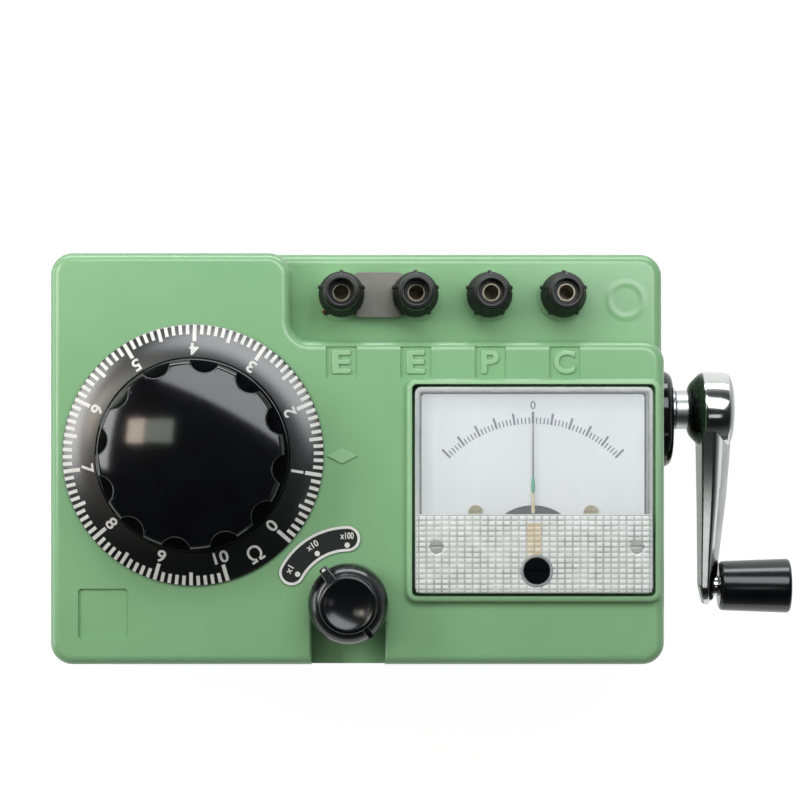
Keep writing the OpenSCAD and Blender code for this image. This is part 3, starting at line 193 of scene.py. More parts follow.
# A CAD solid as one skin: its triangles merged, its flats joined and its edges softened. Before that a crown
# (a middle and a radius) rounds the outer edges at one height, and level may mend the joined triangles.
def softened(node, name, finish, radius, sharpDeg=28, crown=None, level=None):
    mesh = cad[node].data.copy()
    work = bmesh.new()
    work.from_mesh(mesh)
    bmesh.ops.remove_doubles(work, verts=work.verts, dist=hair)
    if level:
        level(work)
    flatDeg, cornerDeg = 0.4, 28.6
    bmesh.ops.dissolve_limit(work, angle_limit=math.radians(flatDeg), verts=work.verts, edges=work.edges)
    work.normal_update()
    if crown:
        middle = Vector(crown[:3]) * mm
        rim = [e for e in work.edges if e.calc_face_angle(0) > math.radians(cornerDeg)
               and all(abs(v.co.z - middle.z) < 10 * hair for v in e.verts)
               and any(f.normal.z < 0.5 and f.normal.dot(e.verts[0].co - middle) > 0 for f in e.link_faces)]
        bmesh.ops.bevel(work, geom=rim, offset=crown[3] * mm, segments=5, profile=0.5, affect="EDGES")
        print(len(rim), "rim edges rounded")
    work.to_mesh(mesh)
    work.free()
    return dress(name, mesh, finish, cad[node]["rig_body"], (node,), sharpDeg, radius)


# The faces of a box whose corners run round its floor and then round its top
boxFaces = [[3, 2, 1, 0], [4, 5, 6, 7], [0, 1, 5, 4], [1, 2, 6, 5], [2, 3, 7, 6], [3, 0, 4, 7]]


# Flat bars set round a centre: along the radius from inner to outer, across by a width
def radialBars(centre, angles, inner, outer, wide, low, high):
    angles, inner, outer, wide = np.broadcast_arrays(angles, inner, outer, wide)
    u = np.stack([inner, outer, outer, inner] * 2, -1)
    v = wide[:, None] / 2 * np.array([-1, -1, 1, 1] * 2)
    z = np.array([low] * 4 + [high] * 4) + 0 * u
    x, y = fromCentre(centre, angles[:, None], u, v)
    faces = (np.arange(len(u))[:, None, None] * 8 + np.array(boxFaces)).reshape(-1, 4)
    return np.stack([x, y, z], -1).reshape(-1, 3), faces


capitalShare = 0.73  # of a font's size that its capitals are high


# A word as a thin solid of a height, its middle at a place, turned by an angle; its edges may be bevelled
def wording(text, place, high, turnDeg, low, thick, bold=0.0, bevel=0.0, wide=1.0):
    curve = bpy.data.curves.new("word", "FONT")
    curve.body = text
    curve.align_x, curve.align_y = "CENTER", "CENTER"
    curve.size = high / capitalShare
    curve.extrude = thick / 2 - bevel
    curve.bevel_depth = bevel
    curve.offset = bold
    holder = bpy.data.objects.new("word", curve)
    at, faces = taken(bpy.data.meshes.new_from_object(holder))
    bpy.data.objects.remove(holder)
    bpy.data.curves.remove(curve)
    at[:, :2] -= (at[:, :2].max(0) + at[:, :2].min(0)) / 2
    at[:, 0] *= wide
    x, y = fromCentre(place, turnDeg, at[:, 0], at[:, 1])
    return np.stack([x, y, low + thick / 2 + at[:, 2]], -1), faces


# Splits every edge of a shape in four, so that it can be laid on a curved face
def refined(points, faces):
    mesh = bpy.data.meshes.new("shape")
    mesh.from_pydata(np.asarray(points, float).reshape(-1, 3).tolist(), [], np.asarray(faces, object).tolist())
    work = bmesh.new()
    work.from_mesh(mesh)
    bmesh.ops.triangulate(work, faces=work.faces)
    bmesh.ops.subdivide_edges(work, edges=work.edges, cuts=3, use_grid_fill=True)
    work.to_mesh(mesh)
    work.free()
    return taken(mesh)


# A round pad: a disc of a radius between two heights
def pad(centre, r, low, high, steps=24):
    return skin(turned([[0, low], [r, low], [r, high], [0, high]], (centre[0], centre[1], 0), steps))


# Finishes

# An sRGB hex value as linear red, green, blue and alpha
def tone(code):
    parts = [int(code[k:k + 2], 16) / 255 for k in (1, 3, 5)]
    return tuple(c / 12.92 if c <= 0.04045 else ((c + 0.055) / 1.055) ** 2.4 for c in parts) + (1.0,)


# Adds one node with its settings, its fixed values and its links; a link to a node means its first output
def addNode(tree, kind, settings=None, values=None, links=None):
    made = tree.nodes.new("ShaderNode" + kind)
    for key, value in (settings or {}).items():
        setattr(made, key, value)
    for key, value in (values or {}).items():
        made.inputs[key].default_value = value
    for key, value in (links or {}).items():
        tree.links.new(getattr(value, "outputs", [value])[0], made.inputs[key])
    return made


# Two tones that drift over the piece, a grain in the gloss and a relief of the tool's marks. patch and grain are
# sizes in millimetres, relief is a height in millimetres, stretch draws the grain out, rings turn it round a centre.
def makeFinish(name, tones, patch, grain, gloss, relief, stretch=(1, 1, 1), centre=(0, 0, 0), rings=False,
               tiles=None, **sockets):
    material = bpy.data.materials.new(name)
    material.use_nodes = True
    tree = material.node_tree
    shader = tree.nodes["Principled BSDF"]
    for key, value in sockets.items():
        shader.inputs[key.replace("_", " ")].default_value = value
    place = addNode(tree, "TexCoord")
    across = addNode(tree, "Mapping", {"vector_type": "TEXTURE"}, {"Location": tuple(c * mm for c in centre)},
                     {"Vector": place.outputs["Object"]})
    drawn = addNode(tree, "Mapping", {}, {"Scale": stretch}, {"Vector": across})
    patches = addNode(tree, "TexNoise", {}, {"Scale": 1 / (patch * mm), "Detail": 3.0, "Roughness": 0.55},
                      {"Vector": across})
    if rings:
        marks = addNode(tree, "TexWave", {"wave_type": "RINGS", "rings_direction": "Z"},
                        {"Scale": 0.314 / (grain * mm), "Distortion": 0.6, "Detail": 2.0}, {"Vector": drawn})
    else:
        marks = addNode(tree, "TexNoise", {}, {"Scale": 1 / (grain * mm), "Detail": 2.0, "Roughness": 0.6},
                        {"Vector": drawn})
    drift = addNode(tree, "ValToRGB", {}, {}, {"Fac": patches.outputs["Fac"]})
    for stop, position, code in zip(drift.color_ramp.elements, (0.32, 0.68), tones):
        stop.position, stop.color = position, tone(code)
    rough = addNode(tree, "MapRange", {}, {"To Min": gloss[0], "To Max": gloss[1]}, {"Value": marks.outputs["Fac"]})
    bump = addNode(tree, "Bump", {}, {"Strength": 1.0, "Distance": relief * mm}, {"Height": marks.outputs["Fac"]})
    colour = drift
    if tiles:  # small pressed tiles, each light or dim, with the first colours left in the furrows
        wide, deep, furrow, light, dim = tiles
        colour = addNode(tree, "TexBrick", {"offset": 0.0},
                         {"Scale": 1 / mm, "Brick Width": wide, "Row Height": deep, "Mortar Size": furrow,
                          "Mortar Smooth": 0.9, "Color1": tone(light), "Color2": tone(dim)},
                         {"Vector": across, "Mortar": drift})
    for key, made in (("Base Color", colour), ("Roughness", rough), ("Normal", bump)):
        tree.links.new(made.outputs[0], shader.inputs[key])
    return material


metal = partial(makeFinish, Metallic=1.0)  # bare or plated metal
# ABS, injection moulded in a finely blasted tool: satin, with a faint drift in the green
greenAbs = makeFinish("mouldedGreenAbs", ("#88B988", "#8EBE8D"), 34, 0.5, (0.18, 0.26), 0.003, IOR=1.55)
# The same made a little paler on the faces that stand above the panel and look up, and on the raised letters: a
# painted highlight
litTopGreenAbs = makeFinish("litTopGreenAbs", ("#97C696", "#9DCA9B"), 20, 0.5, (0.18, 0.26), 0.003, IOR=1.55)
# Phenolic, compression moulded and buffed: deep black with a clear polish
blackPhenolic = makeFinish("buffedBlackPhenolic", ("#09090B", "#0E0F11"), 9, 2.5, (0.08, 0.13), 0.001, IOR=1.6)
# Phenolic as moulded: the same black with a softer skin
satinPhenolic = makeFinish("mouldedBlackPhenolic", ("#0A0B0D", "#101114"), 7, 1.6, (0.16, 0.23), 0.002, IOR=1.6)
# Nylon caps, moulded: black, duller than the knobs
blackNylon = makeFinish("mouldedBlackNylon", ("#0A0B0C", "#121314"), 4, 0.7, (0.28, 0.4), 0.004, IOR=1.5)
# The same on the caps' upright faces below the top ring: a little darker, rougher and less reflective, painted shade
# where they would mirror the green ledge
shadedFlankNylon = makeFinish("blackNylonPaintedShade", ("#08090A", "#0F1011"), 4, 0.7, (0.6, 0.75), 0.004, IOR=1.35)
# Aluminium skirt, turned and black anodised: fine circular cuts that spread the light round the dial
blackAnodised = makeFinish("turnedBlackAnodised", ("#08090A", "#0D0F11"), 12, 0.3, (0.25, 0.30), 0.0002,
                           centre=(-45, 1, 0), rings=True, IOR=2.0)
# Screen ink, white: slightly uneven cover
whiteInk = makeFinish("whiteScreenInk", ("#E4E4DE", "#F0F0EA"), 3, 0.4, (0.45, 0.6), 0.004, IOR=1.5)
# Screen ink, dark grey on the meter's scale
greyInk = makeFinish("greyScreenInk", ("#5A5F66", "#6C7178"), 2, 0.4, (0.5, 0.6), 0.003, IOR=1.5)
# Aluminium plate, painted matt white and baked
whitePaint = makeFinish("bakedWhitePaint", ("#DDE1E4", "#E4E7E9"), 26, 0.6, (0.5, 0.6), 0.002, IOR=1.5)
# Acrylic cover, cast and clear, with the slightest waviness
clearAcrylic = makeFinish("clearMouldedAcrylic", ("#EEF3F4", "#F4F8F8"), 30, 14, (0.02, 0.05), 0.002,
                          IOR=1.49, Alpha=0.12)
# The collar round the adjuster and the cover's inner edge: the same acrylic with shade behind it
greyAcrylic = makeFinish("shadedAcrylic", ("#9CA3A2", "#B2B8B7"), 3, 2, (0.08, 0.14), 0.002, IOR=1.49, Alpha=0.9)
# The cover's walls: the light that runs along inside them makes them look pale and milky from the front
paleAcrylic = makeFinish("lightFilledAcrylic", ("#CDD3D2", "#DEE4E2"), 12, 3, (0.08, 0.14), 0.002,
                         IOR=1.49, Alpha=0.82)
# The cover's lower part: pressed with small pillows that scatter the light. Its near-white tiles and grey furrows,
# darker in patches, are painted highlight and shade of that relief and a painted reflection of the dark drum behind
pressedAcrylic = makeFinish("pressedAcrylic", ("#A3AAA6", "#DCE1DE"), 4, 1.2, (0.16, 0.26), 0.004,
                            centre=(48.2, -15.4, 0), tiles=(2.1, 1.45, 0.44, "#FAFCFB", "#ECF0EE"), IOR=1.49,
                            Alpha=0.95)
# The same over the coil and its cement: cream and brown through the pressed tiles, with the same painted shade in the
# furrows
warmAcrylic = makeFinish("pressedAcrylicOverTheCoil", ("#C0AE8C", "#D6CBB0"), 5, 1.2, (0.16, 0.26), 0.004,
                         centre=(48.2, -15.4, 0), tiles=(2.1, 1.45, 0.44, "#F4EEDF", "#E6D8BC"), IOR=1.49,
                         Alpha=0.95)
# Chrome plate over a polished zinc casting: near mirror, faint waves from the buffing wheel
chrome = metal("buffedChromePlate", ("#C9CCCB", "#D6D8D6"), 12, 5, (0.1, 0.17), 0.006)
# The same plate left unbuffed at the back of the hub and the arm, so rougher there, and much darker: painted shade
# for the shaded case wall those faces mirror
shadedBackChrome = metal("unbuffedChromePlate", ("#5A5E5C", "#6E7270"), 6, 1.5, (0.22, 0.32), 0.006)
# The same plate on the faces that look to the right, darker and a little rougher: painted shade on that side
shadedRightChrome = metal("hazedChromePlate", ("#8C908E", "#A0A4A2"), 6, 2, (0.16, 0.24), 0.006)
# Chrome on a turned steel sleeve: the cut rings still show
turnedChrome = metal("turnedChrome", ("#B9BCBB", "#CACCCB"), 8, 0.25, (0.3, 0.38), 0.0015, stretch=(1, 0.1, 0.1))
# Steel strip, ground along its length and nickel plated: dull grey with long fine scratches
brushedSteel = metal("groundSteelStrip", ("#767670", "#888880"), 10, 0.35, (0.34, 0.48), 0.003, stretch=(0.06, 1, 1))
# Mild steel, zinc plated: frames, plates and pillars inside
zincSteel = metal("zincPlatedSteel", ("#9DA1A6", "#B4B8BA"), 7, 0.9, (0.28, 0.4), 0.003)
# Silver steel, ground: shafts
groundSteel = metal("groundSteelShaft", ("#A4A6A8", "#B6B8BA"), 6, 0.3, (0.18, 0.28), 0.001)
# Brass, turned and lacquered, a little browned by age
agedBrass = metal("turnedAgedBrass", ("#9C7A3C", "#B89A58"), 3, 0.5, (0.24, 0.4), 0.003)
# Brass, bright and unlacquered: the screws of the scale plate
paleBrass = metal("brightBrass", ("#B9AE86", "#D0C7A2"), 3, 0.5, (0.3, 0.42), 0.002, Metallic=0.8)
# Brass, nickel plated: studs and small screws
nickelBrass = metal("nickelPlatedBrass", ("#BDBFB8", "#D0D2CB"), 3, 0.8, (0.34, 0.46), 0.001, Metallic=0.7)
# The same plate dulled by years of plugs: the sockets
dulledNickel = metal("dulledNickelPlate", ("#857F70", "#9E9787"), 3, 0.8, (0.3, 0.42), 0.001, Metallic=0.85)
# Copper, bare and slightly dulled
bareCopper = metal("dulledCopper", ("#A9745A", "#C79A80"), 2, 0.5, (0.3, 0.45), 0.003)
# Copper wire, enamelled and wound: red-brown with the ridge of each turn
woundCopper = makeFinish("enamelledWinding", ("#7A3A1E", "#96502A"), 3, 0.45, (0.25, 0.35), 0.02,
                         stretch=(0.05, 1, 1), IOR=1.6)
# Magnet alloy, cast and ground: dark grey
castMagnet = metal("castMagnetAlloy", ("#3F4144", "#55585B"), 5, 0.8, (0.4, 0.55), 0.01)
# Soft iron, blackened: cores and laminations
blackIron = metal("blackenedIron", ("#3A3C3F", "#4A4C4F"), 6, 0.6, (0.4, 0.55), 0.006)
# Paper laminate with phenolic resin, punched: wafers, formers and boards
paperLaminate = makeFinish("paperLaminate", ("#6B4423", "#7E5530"), 5, 0.6, (0.4, 0.5), 0.006, IOR=1.55)
# Porcelain-white moulding of the switch rotor
ivoryResin = makeFinish("mouldedIvoryResin", ("#D9D2BC", "#E4DECB"), 5, 0.8, (0.35, 0.45), 0.003, IOR=1.5)
# ABS, moulded black and unpolished: the meter's body
dullBlackAbs = makeFinish("mouldedBlackAbs", ("#151618", "#1D1E20"), 9, 0.5, (0.42, 0.52), 0.008, IOR=1.53)
# Rubber, moulded: feet
footRubber = makeFinish("mouldedRubber", ("#18191A", "#232425"), 4, 0.5, (0.65, 0.8), 0.012, IOR=1.5)
# Spring bronze ribbon
springBronze = metal("rolledBronze", ("#A8763E", "#BC8C52"), 2, 0.3, (0.25, 0.35), 0.001)
# Steel needle, blackened with a grey sheen
needleSteel = metal("bluedNeedleSteel", ("#55595D", "#666A6E"), 3, 0.4, (0.35, 0.45), 0.001, Metallic=0.6)
# Teal sleeve drawn over the needle
tealSleeve = makeFinish("tealSleeving", ("#0E8A6C", "#16A07E"), 1.5, 0.3, (0.4, 0.5), 0.004, IOR=1.5)
# Cement that holds the needle: cream, brittle
creamCement = makeFinish("creamCement", ("#CDBE92", "#DCCFA8"), 1, 0.3, (0.55, 0.65), 0.01, IOR=1.5)
print("finishes made")


# CAD nodes that keep their shape take a finish
inside = {
    groundSteel: ["dial_shaft", "range_shaft", "crank_shaft", "bearing_bush"],
    agedBrass: ["shaft_bushes", "bush_nuts", "meter_studs", "pivot_bridges", "solder_tags", "zero_arm", "crank_gear",
                "idler_gear"] + [f"terminal_collar_{k}" for k in (1, 2, 3, 4)],
    paleBrass: ["scale_pillars"],
    paperLaminate: ["wiper_arm", "slide_wire_base", "range_wafer", "brush_holder", "component_board"],
    woundCopper: ["slide_wire", "stator_windings", "moving_coil"],
    ivoryResin: ["range_rotor"],
    zincSteel: ["range_frame", "frame_plates", "frame_pillars", "stator_can", "terminal_nuts", "base_screws"],
    dullBlackAbs: ["meter_drum"],
    castMagnet: ["meter_magnet", "generator_rotor"],
    blackIron: ["meter_core", "transformer"],
    springBronze: ["hairspring"],
    needleSteel: ["needle"],
    dulledNickel: ["terminal_studs"],
    whitePaint: ["scale_plate"],
    blackPhenolic: ["zero_adjuster"],
}
for finish, names in inside.items():
    for name in names:
        slots = cad[name].data.materials
        slots.clear()
        slots.append(finish)
print("inner nodes finished")


# Case: one moulding, edges broken by the mould's radius, with raised letters in four of the sunk squares
case = {"edge": 0.35, "crown": (48.2, -8.6, 112.6, 1.2), "bossAt": (-38, 66), "bossR": 4.2, "wallX": 86.23,
        "lean": 0.018, "proud": 0.1, "litTopAbove": 110.2, "facesUp": 0.3, "letters": "EEPC", "firstX": -4.4,
        "pitch": 20.4, "letterY": 26.5, "letterHigh": 6.2, "letterWides": (1.3, 1.3, 1.15, 1.0), "floorZ": 109.2,
        "letterThick": 0.7, "letterBold": 0.05, "letterBevel": 0.26, "sunk": 0.02}


# The end of one inner boss stands through the right wall, x = foot - lean * height: each of its corners is welded to
# the one on the wall that it rises from
def levelBoss(work):
    proud = {v for v in work.verts if v.co.x > (case["wallX"] - case["lean"] * v.co.z / mm + case["proud"]) * mm
             and math.hypot(v.co.y / mm - case["bossAt"][0], v.co.z / mm - case["bossAt"][1]) < case["bossR"]}
    onWall = {}
    for corner in proud:
        near = [edge.other_vert(corner) for edge in corner.link_edges]
        onWall[corner] = min((v for v in near if v not in proud), key=lambda v: (v.co.yz - corner.co.yz).length)
    bmesh.ops.weld_verts(work, targetmap=onWall)
    print(len(onWall), "boss corners levelled")


shell = softened("housing", "caseShell", greenAbs, case["edge"], crown=case["crown"], level=levelBoss)
# Upward faces above the panel take the paler green, a painted highlight
splitFinish(shell, litTopGreenAbs, lambda m, n: (m[:, 2] > case["litTopAbove"]) & (n[:, 2] > case["facesUp"]))
words = [wording(text, (case["firstX"] + k * case["pitch"], case["letterY"]), case["letterHigh"], 0,
                 case["floorZ"] - case["sunk"], case["letterThick"], case["letterBold"], case["letterBevel"],
                 case["letterWides"][k])
         for k, text in enumerate(case["letters"])]
# The raised letters take the paler green too, a painted highlight
makePiece("raisedLetters", words, litTopGreenAbs, "tester")
softened("base_plate", "basePlate", greenAbs, 0.3)
softened("rubber_feet", "feet", footRubber, 0.4)
print("case made")


# Ejector mark on the ledge: a low swell, h = high * (1 - cos of the place across the ring) / 2
witness = {"at": (74.4, 43.9), "inner": 3.2, "outer": 6.2, "high": 0.12, "z": 101.0, "under": 0.05}
across = np.linspace(0, 1, 13)
swell = witness["high"] * (1 - np.cos(2 * np.pi * across)) / 2
line = np.stack([witness["inner"] + across * (witness["outer"] - witness["inner"]), swell], -1)
line = np.vstack([line, [[witness["outer"], -witness["under"]], [witness["inner"], -witness["under"]]]])
ring = turned(line, (*witness["at"], witness["z"]), 64)
makePiece("ejectorMark", [skin(ring, wrapRows=True)], greenAbs, "tester", sharpDeg=60)
print("ejector mark made")


# Dial skirt: a shallow dish from the knob out to the rim, fall = ease * t + (drop - ease) * t ** 2
skirt = {"at": (-45, 1, 110.6), "bore": 10.0, "seat": 1.8, "flatR": 26.55, "thick": 2.9, "rimR": 35.8,
         "rimThick": 0.45, "ease": 0.8, "round": 0.15, "setIn": 0.2}


# Fall of the skirt's face below the knob's seat at a distance from the axis
def skirtFall(r):
    t = np.clip((r - skirt["flatR"]) / (skirt["rimR"] - skirt["flatR"]), 0, 1)
    return skirt["ease"] * t + (skirt["thick"] - skirt["rimThick"] - skirt["ease"]) * t ** 2


bore, rimR, flatR, seat, soft = (skirt[key] for key in ("bore", "rimR", "flatR", "seat", "round"))
faceR = np.linspace(rimR - skirt["setIn"], flatR + skirt["setIn"], 40)
line = np.vstack([[[bore, 0], [rimR - soft, 0], [rimR, soft], [rimR, skirt["rimThick"] - soft]],
                  np.stack([faceR, skirt["thick"] - skirtFall(faceR)], -1),
                  [[flatR, skirt["thick"] - soft], [flatR, seat], [bore, seat], [bore, 0]]])
makePiece("dialSkirt", [skin(turned(line, skirt["at"], 240))], blackAnodised, "dial", ("dial_disc",))


# Marks on the skirt: bars that lie on its face, and numbers whose tops point to the knob
marks = {"zeroDeg": -41.7, "unitDeg": 32.72, "units": 10, "outer": 35.7, "lengths": (4.6, 3.6, 2.65),
         "wide": (1.05, 0.98, 0.95), "numberR": 28.95, "numberHigh": 3.3, "bold": 0.1, "wider": 1.12,
         "proud": 0.04, "sunk": (0.1, 0.05), "ohmDeg": -57.8, "ohmR": 31.9, "ohmHigh": 4.5, "ohmBold": 0.06}


# Drops a flat shape onto the skirt, by the skirt's fall at each point's distance from the axis
def ontoSkirt(points, faces):
    points, faces = refined(points, faces)
    points[:, 2] -= skirtFall(np.hypot(*(points - skirt["at"])[:, :2].T))
    return points, faces


count = np.arange(marks["units"] * 10 + 1)
kind = np.where(count % 10 == 0, 0, np.where(count % 5 == 0, 1, 2))
angles = marks["zeroDeg"] + marks["unitDeg"] * count / 10
top = skirt["at"][2] + skirt["thick"]
shapes = [ontoSkirt(*radialBars(skirt["at"], angles, marks["outer"] - np.array(marks["lengths"])[kind],
                                marks["outer"], np.array(marks["wide"])[kind], top - marks["sunk"][0],
                                top + marks["proud"]))]


# A word on the skirt at an angle and a radius, its top towards the knob
def skirtWord(text, aimDeg, r, high, bold, wide=1.0):
    place = fromCentre(skirt["at"], aimDeg, r)
    low = marks["sunk"][1]
    return ontoSkirt(*wording(text, place, high, aimDeg + 90, top - low, low + marks["proud"], bold, wide=wide))


shapes += [skirtWord(str(unit), marks["zeroDeg"] + marks["unitDeg"] * unit, marks["numberR"], marks["numberHigh"],
                     marks["bold"], marks["wider"]) for unit in range(marks["units"] + 1)]
shapes.append(skirtWord("Ω", marks["ohmDeg"], marks["ohmR"], marks["ohmHigh"], marks["ohmBold"]))
makePiece("dialMarks", shapes, whiteInk, "dial")
print("dial skirt made")


# Dial knob: a domed section whose outline is a circle bitten by round scallops.
# For each angle the section is followed to the outline, then down the wall to the lip. The edge is broken inside the
# scallops only.
knob = {"at": (-45, 1, 112.4), "rimR": 26.4, "rimHigh": 1.3, "sideR": 25.4, "high": 20.1, "crownR": 75.0,
        "shoulderR": 1.9, "scallops": 12, "scallopR": 4.17, "scallopDrop": 3.0, "firstDeg": 21.4, "soft": 0.35,
        "fade": 0.5, "plainR": 20.0, "lip": (1.0, 0.5, 0.3)}


def knobGrid(k):
    crownR, shoulderR, sideR, scallopR = k["crownR"], k["shoulderR"], k["sideR"], k["scallopR"]
    side = sideR - shoulderR
    crownZ = k["high"] - crownR
    shoulderZ = crownZ + math.sqrt((crownR - shoulderR) ** 2 - side ** 2)
    meetTilt = math.asin(side / (crownR - shoulderR))
    meetR = crownR * math.sin(meetTilt)
    meetLong = crownR * meetTilt
    away = sideR - k["scallopDrop"] + scallopR
    half = math.acos((away ** 2 + sideR ** 2 - scallopR ** 2) / (2 * away * sideR))
    pitch = 2 * np.pi / k["scallops"]
    local = np.concatenate([np.linspace(-half, half, 31), np.linspace(half, pitch - half, 15)[1:-1]])
    angle = (math.radians(k["firstDeg"]) + np.arange(k["scallops"])[:, None] * pitch + local).ravel()
    inBite = np.tile(np.abs(local) <= half, k["scallops"])
    beta = np.tile(np.clip(local, -half, half), k["scallops"])
    bitten = away * np.cos(beta) - np.sqrt(np.clip(scallopR ** 2 - (away * np.sin(beta)) ** 2, 0, None))
    outline = np.where(inBite, np.minimum(bitten, sideR), sideR)

    # Length along the section from its middle out to a radius: along the crown, then round the shoulder
    def longAt(r):
        crownLong = crownR * np.arcsin(np.clip(r / crownR, 0, 1))
        shoulderTilt = np.arcsin(np.clip((r - side) / shoulderR, 0, 1))
        return np.where(r <= meetR, crownLong, meetLong + shoulderR * (shoulderTilt - meetTilt))

    # Radius and height at a length along the section
    def section(long):
        low = np.minimum(long, meetLong) / crownR
        high = meetTilt + np.maximum(long - meetLong, 0) / shoulderR
        r = np.where(long <= meetLong, crownR * np.sin(low), side + shoulderR * np.sin(high))
        z = np.where(long <= meetLong, crownZ + crownR * np.cos(low), shoulderZ + shoulderR * np.cos(high))
        return r, z

    bite = np.clip((sideR - outline) / k["fade"], 0, 1) * k["soft"]
    edgeZ = section(longAt(outline))[1]
    plain = longAt(np.array(k["plainR"]))
    inner = np.linspace(0, 1, 26)[:-1, None] * plain + 0 * outline
    outer = plain + np.linspace(0, 1, 40)[:, None] * (longAt(outline - bite) - plain)
    rows = list(zip(*section(np.vstack([inner, outer]))))
    rows.append((outline - 0.29 * bite, edgeZ - 0.29 * bite))  # where a quarter round is half way round
    down = np.linspace(0, 1, 8)[:, None]
    rows += [(outline, wall) for wall in (edgeZ - bite) * (1 - down) + k["rimHigh"] * down]
    rim = roundedLine([[k["rimR"] - k["lip"][0], k["rimHigh"]], [k["rimR"], k["rimHigh"]], [k["rimR"], 0], [0, 0]],
                      k["lip"][1:])
    rows += [(np.full_like(outline, r), np.full_like(outline, z)) for r, z in rim[1:]]
    r, z = (np.array(part) for part in zip(*rows))
    return np.stack([r * np.cos(angle), r * np.sin(angle), z], -1) + np.array(k["at"])


makePiece("dialKnob", [skin(knobGrid(knob))], blackPhenolic, "dial", ("dial_knob",), sharpDeg=40)
print("dial knob made")


# Range knob: a bulged skirt, a ring round a dished top, a pointer and a small nub opposite
selector = {
    "at": (-2.5, -39.5, 110.6), "aimDeg": 125.5, "dishR": 6.4, "dishDeep": 1.5, "dishRimZ": 14.85,
    "ring": ([[7.0, 15.0], [7.8, 14.8], [7.85, 10.6], [8.3, 10.2]], [0.15, 0.3, 0.25]),
    "swellAt": (5.95, 5.6), "swellR": 5, "swellDeg": (66, 0),
    "foot": ([[10.95, 5.0], [10.95, 0.6], [10.4, 0], [0, 0]], [0.3, 0.3]),
    "pointer": ((6.8, 1.6, 13.7), (12.1, 1.15, 11.6)), "nub": ((7.2, 1.0, 11.8), (11.2, 0.8, 9.8)), "low": 5.5,
    "dotR": 0.55, "dotReach": 11.35, "dotZ": (11.7, 11.98),
}
dish = np.linspace(0, 1, 10)[:, None]
bowl = np.hstack([selector["dishR"] * dish, selector["dishRimZ"] - selector["dishDeep"] * (1 - dish ** 2)])
ringLine = roundedLine([bowl[-1], *selector["ring"][0]], selector["ring"][1])
swell = np.transpose(fromCentre(selector["swellAt"], np.linspace(*selector["swellDeg"], 16), selector["swellR"]))
line = np.vstack([bowl, ringLine[1:-1], swell, roundedLine(*selector["foot"])])
makePiece("rangeKnob", [skin(turned(line, selector["at"], 144))], satinPhenolic, "range_switch", ("range_knob",))


# A wedge along a radius: corners given by reach, half width and height at its root and tip
def wedge(centre, aimDeg, root, tip, low):
    reach = np.array([root[0], tip[0], tip[0], root[0]] * 2)
    half = np.array([-root[1], -tip[1], tip[1], root[1]] * 2)
    z = np.array([low] * 4 + [root[2], tip[2], tip[2], root[2]]) + centre[2]
    return np.stack([*fromCentre(centre, aimDeg, reach, half), z], -1), boxFaces


makePiece("rangePointer", [wedge(selector["at"], selector["aimDeg"], *selector["pointer"], selector["low"]),
                           wedge(selector["at"], selector["aimDeg"] + 180, *selector["nub"], selector["low"])],
          satinPhenolic, "range_switch", soften=0.3)
tip = fromCentre(selector["at"], selector["aimDeg"], selector["dotReach"])
heights = [selector["at"][2] + z for z in selector["dotZ"]]
makePiece("pointerDot", [pad(tip, selector["dotR"], *heights)], whiteInk, "range_switch")
print("range knob made")


# Arc plate: black, with a white line along its edge, three dots and their multipliers
arc = {"at": (-2.5, -39.5), "midR": 17.55, "fromDeg": 90.7, "toDeg": 151.9, "lineOut": 3.5, "lineIn": 2.75,
       "top": 110.5, "lineZ": (-0.05, 0.03), "dotR": 0.74, "dotZ": (-0.05, 0.04), "wordOff": 2.6, "wordHigh": 1.8,
       "wordSunk": 0.04, "wordThick": 0.07, "wordBold": 0.05,
       "dots": ((150.6, 15.95, "x1", 1.0), (122.2, 15.95, "x10", 0.92), (91.1, 15.8, "x100", 0.74))}
softened("range_plate", "arcPlate", dullBlackAbs, 0.12)


# Outline of the arc at a distance from its middle line: two arcs and two round ends
def arcOutline(off, steps=48):
    at, midR, ends = arc["at"], arc["midR"], (arc["fromDeg"], arc["toDeg"])
    sweep = np.linspace(*ends, steps)
    turn = np.linspace(0, 180, 20)[1:-1]
    outline = [fromCentre(at, sweep, midR + off), fromCentre(fromCentre(at, ends[1], midR), ends[1] + turn, off),
               fromCentre(at, sweep[::-1], midR - off),
               fromCentre(fromCentre(at, ends[0], midR), ends[0] + 180 + turn, off)]
    return np.hstack(outline).T


under, over = (arc["top"] + z for z in arc["lineZ"])
rows = [(arc["lineOut"], under), (arc["lineOut"], over), (arc["lineIn"], over), (arc["lineIn"], under)]
shapes = [skin(stacked(arcOutline, rows), wrapRows=True)]
for aimDeg, dotReach, text, wordWide in arc["dots"]:
    shapes.append(pad(fromCentre(arc["at"], aimDeg, dotReach), arc["dotR"], *(arc["top"] + z for z in arc["dotZ"])))
    shapes.append(wording(text, fromCentre(arc["at"], aimDeg, dotReach + arc["wordOff"]), arc["wordHigh"],
                          aimDeg - 90, arc["top"] - arc["wordSunk"], arc["wordThick"], arc["wordBold"],
                          wide=wordWide))
makePiece("arcMarks", shapes, whiteInk, "tester")
print("arc plate made")


# Meter cover: pale walls, a clear window set between them, and a lower part pressed with small tiles
cover = {"at": (48.2, -8.6), "long": 65.0, "wide": 56.4, "wall": 1.5, "corner": 1.8, "innerCorner": 0.3,
         "soft": 0.55, "low": 105.5, "straight": 0.5, "under": 112.4, "top": 114.4, "strip": 0.45, "proud": 0.03,
         "sunk": 0.1, "gap": 0.02, "ringAt": (48.9, -30.6), "ringR": (3.7, 4.45), "ringHigh": 0.5,
         "ringSoft": [0.15, 0.3, 0.1]}


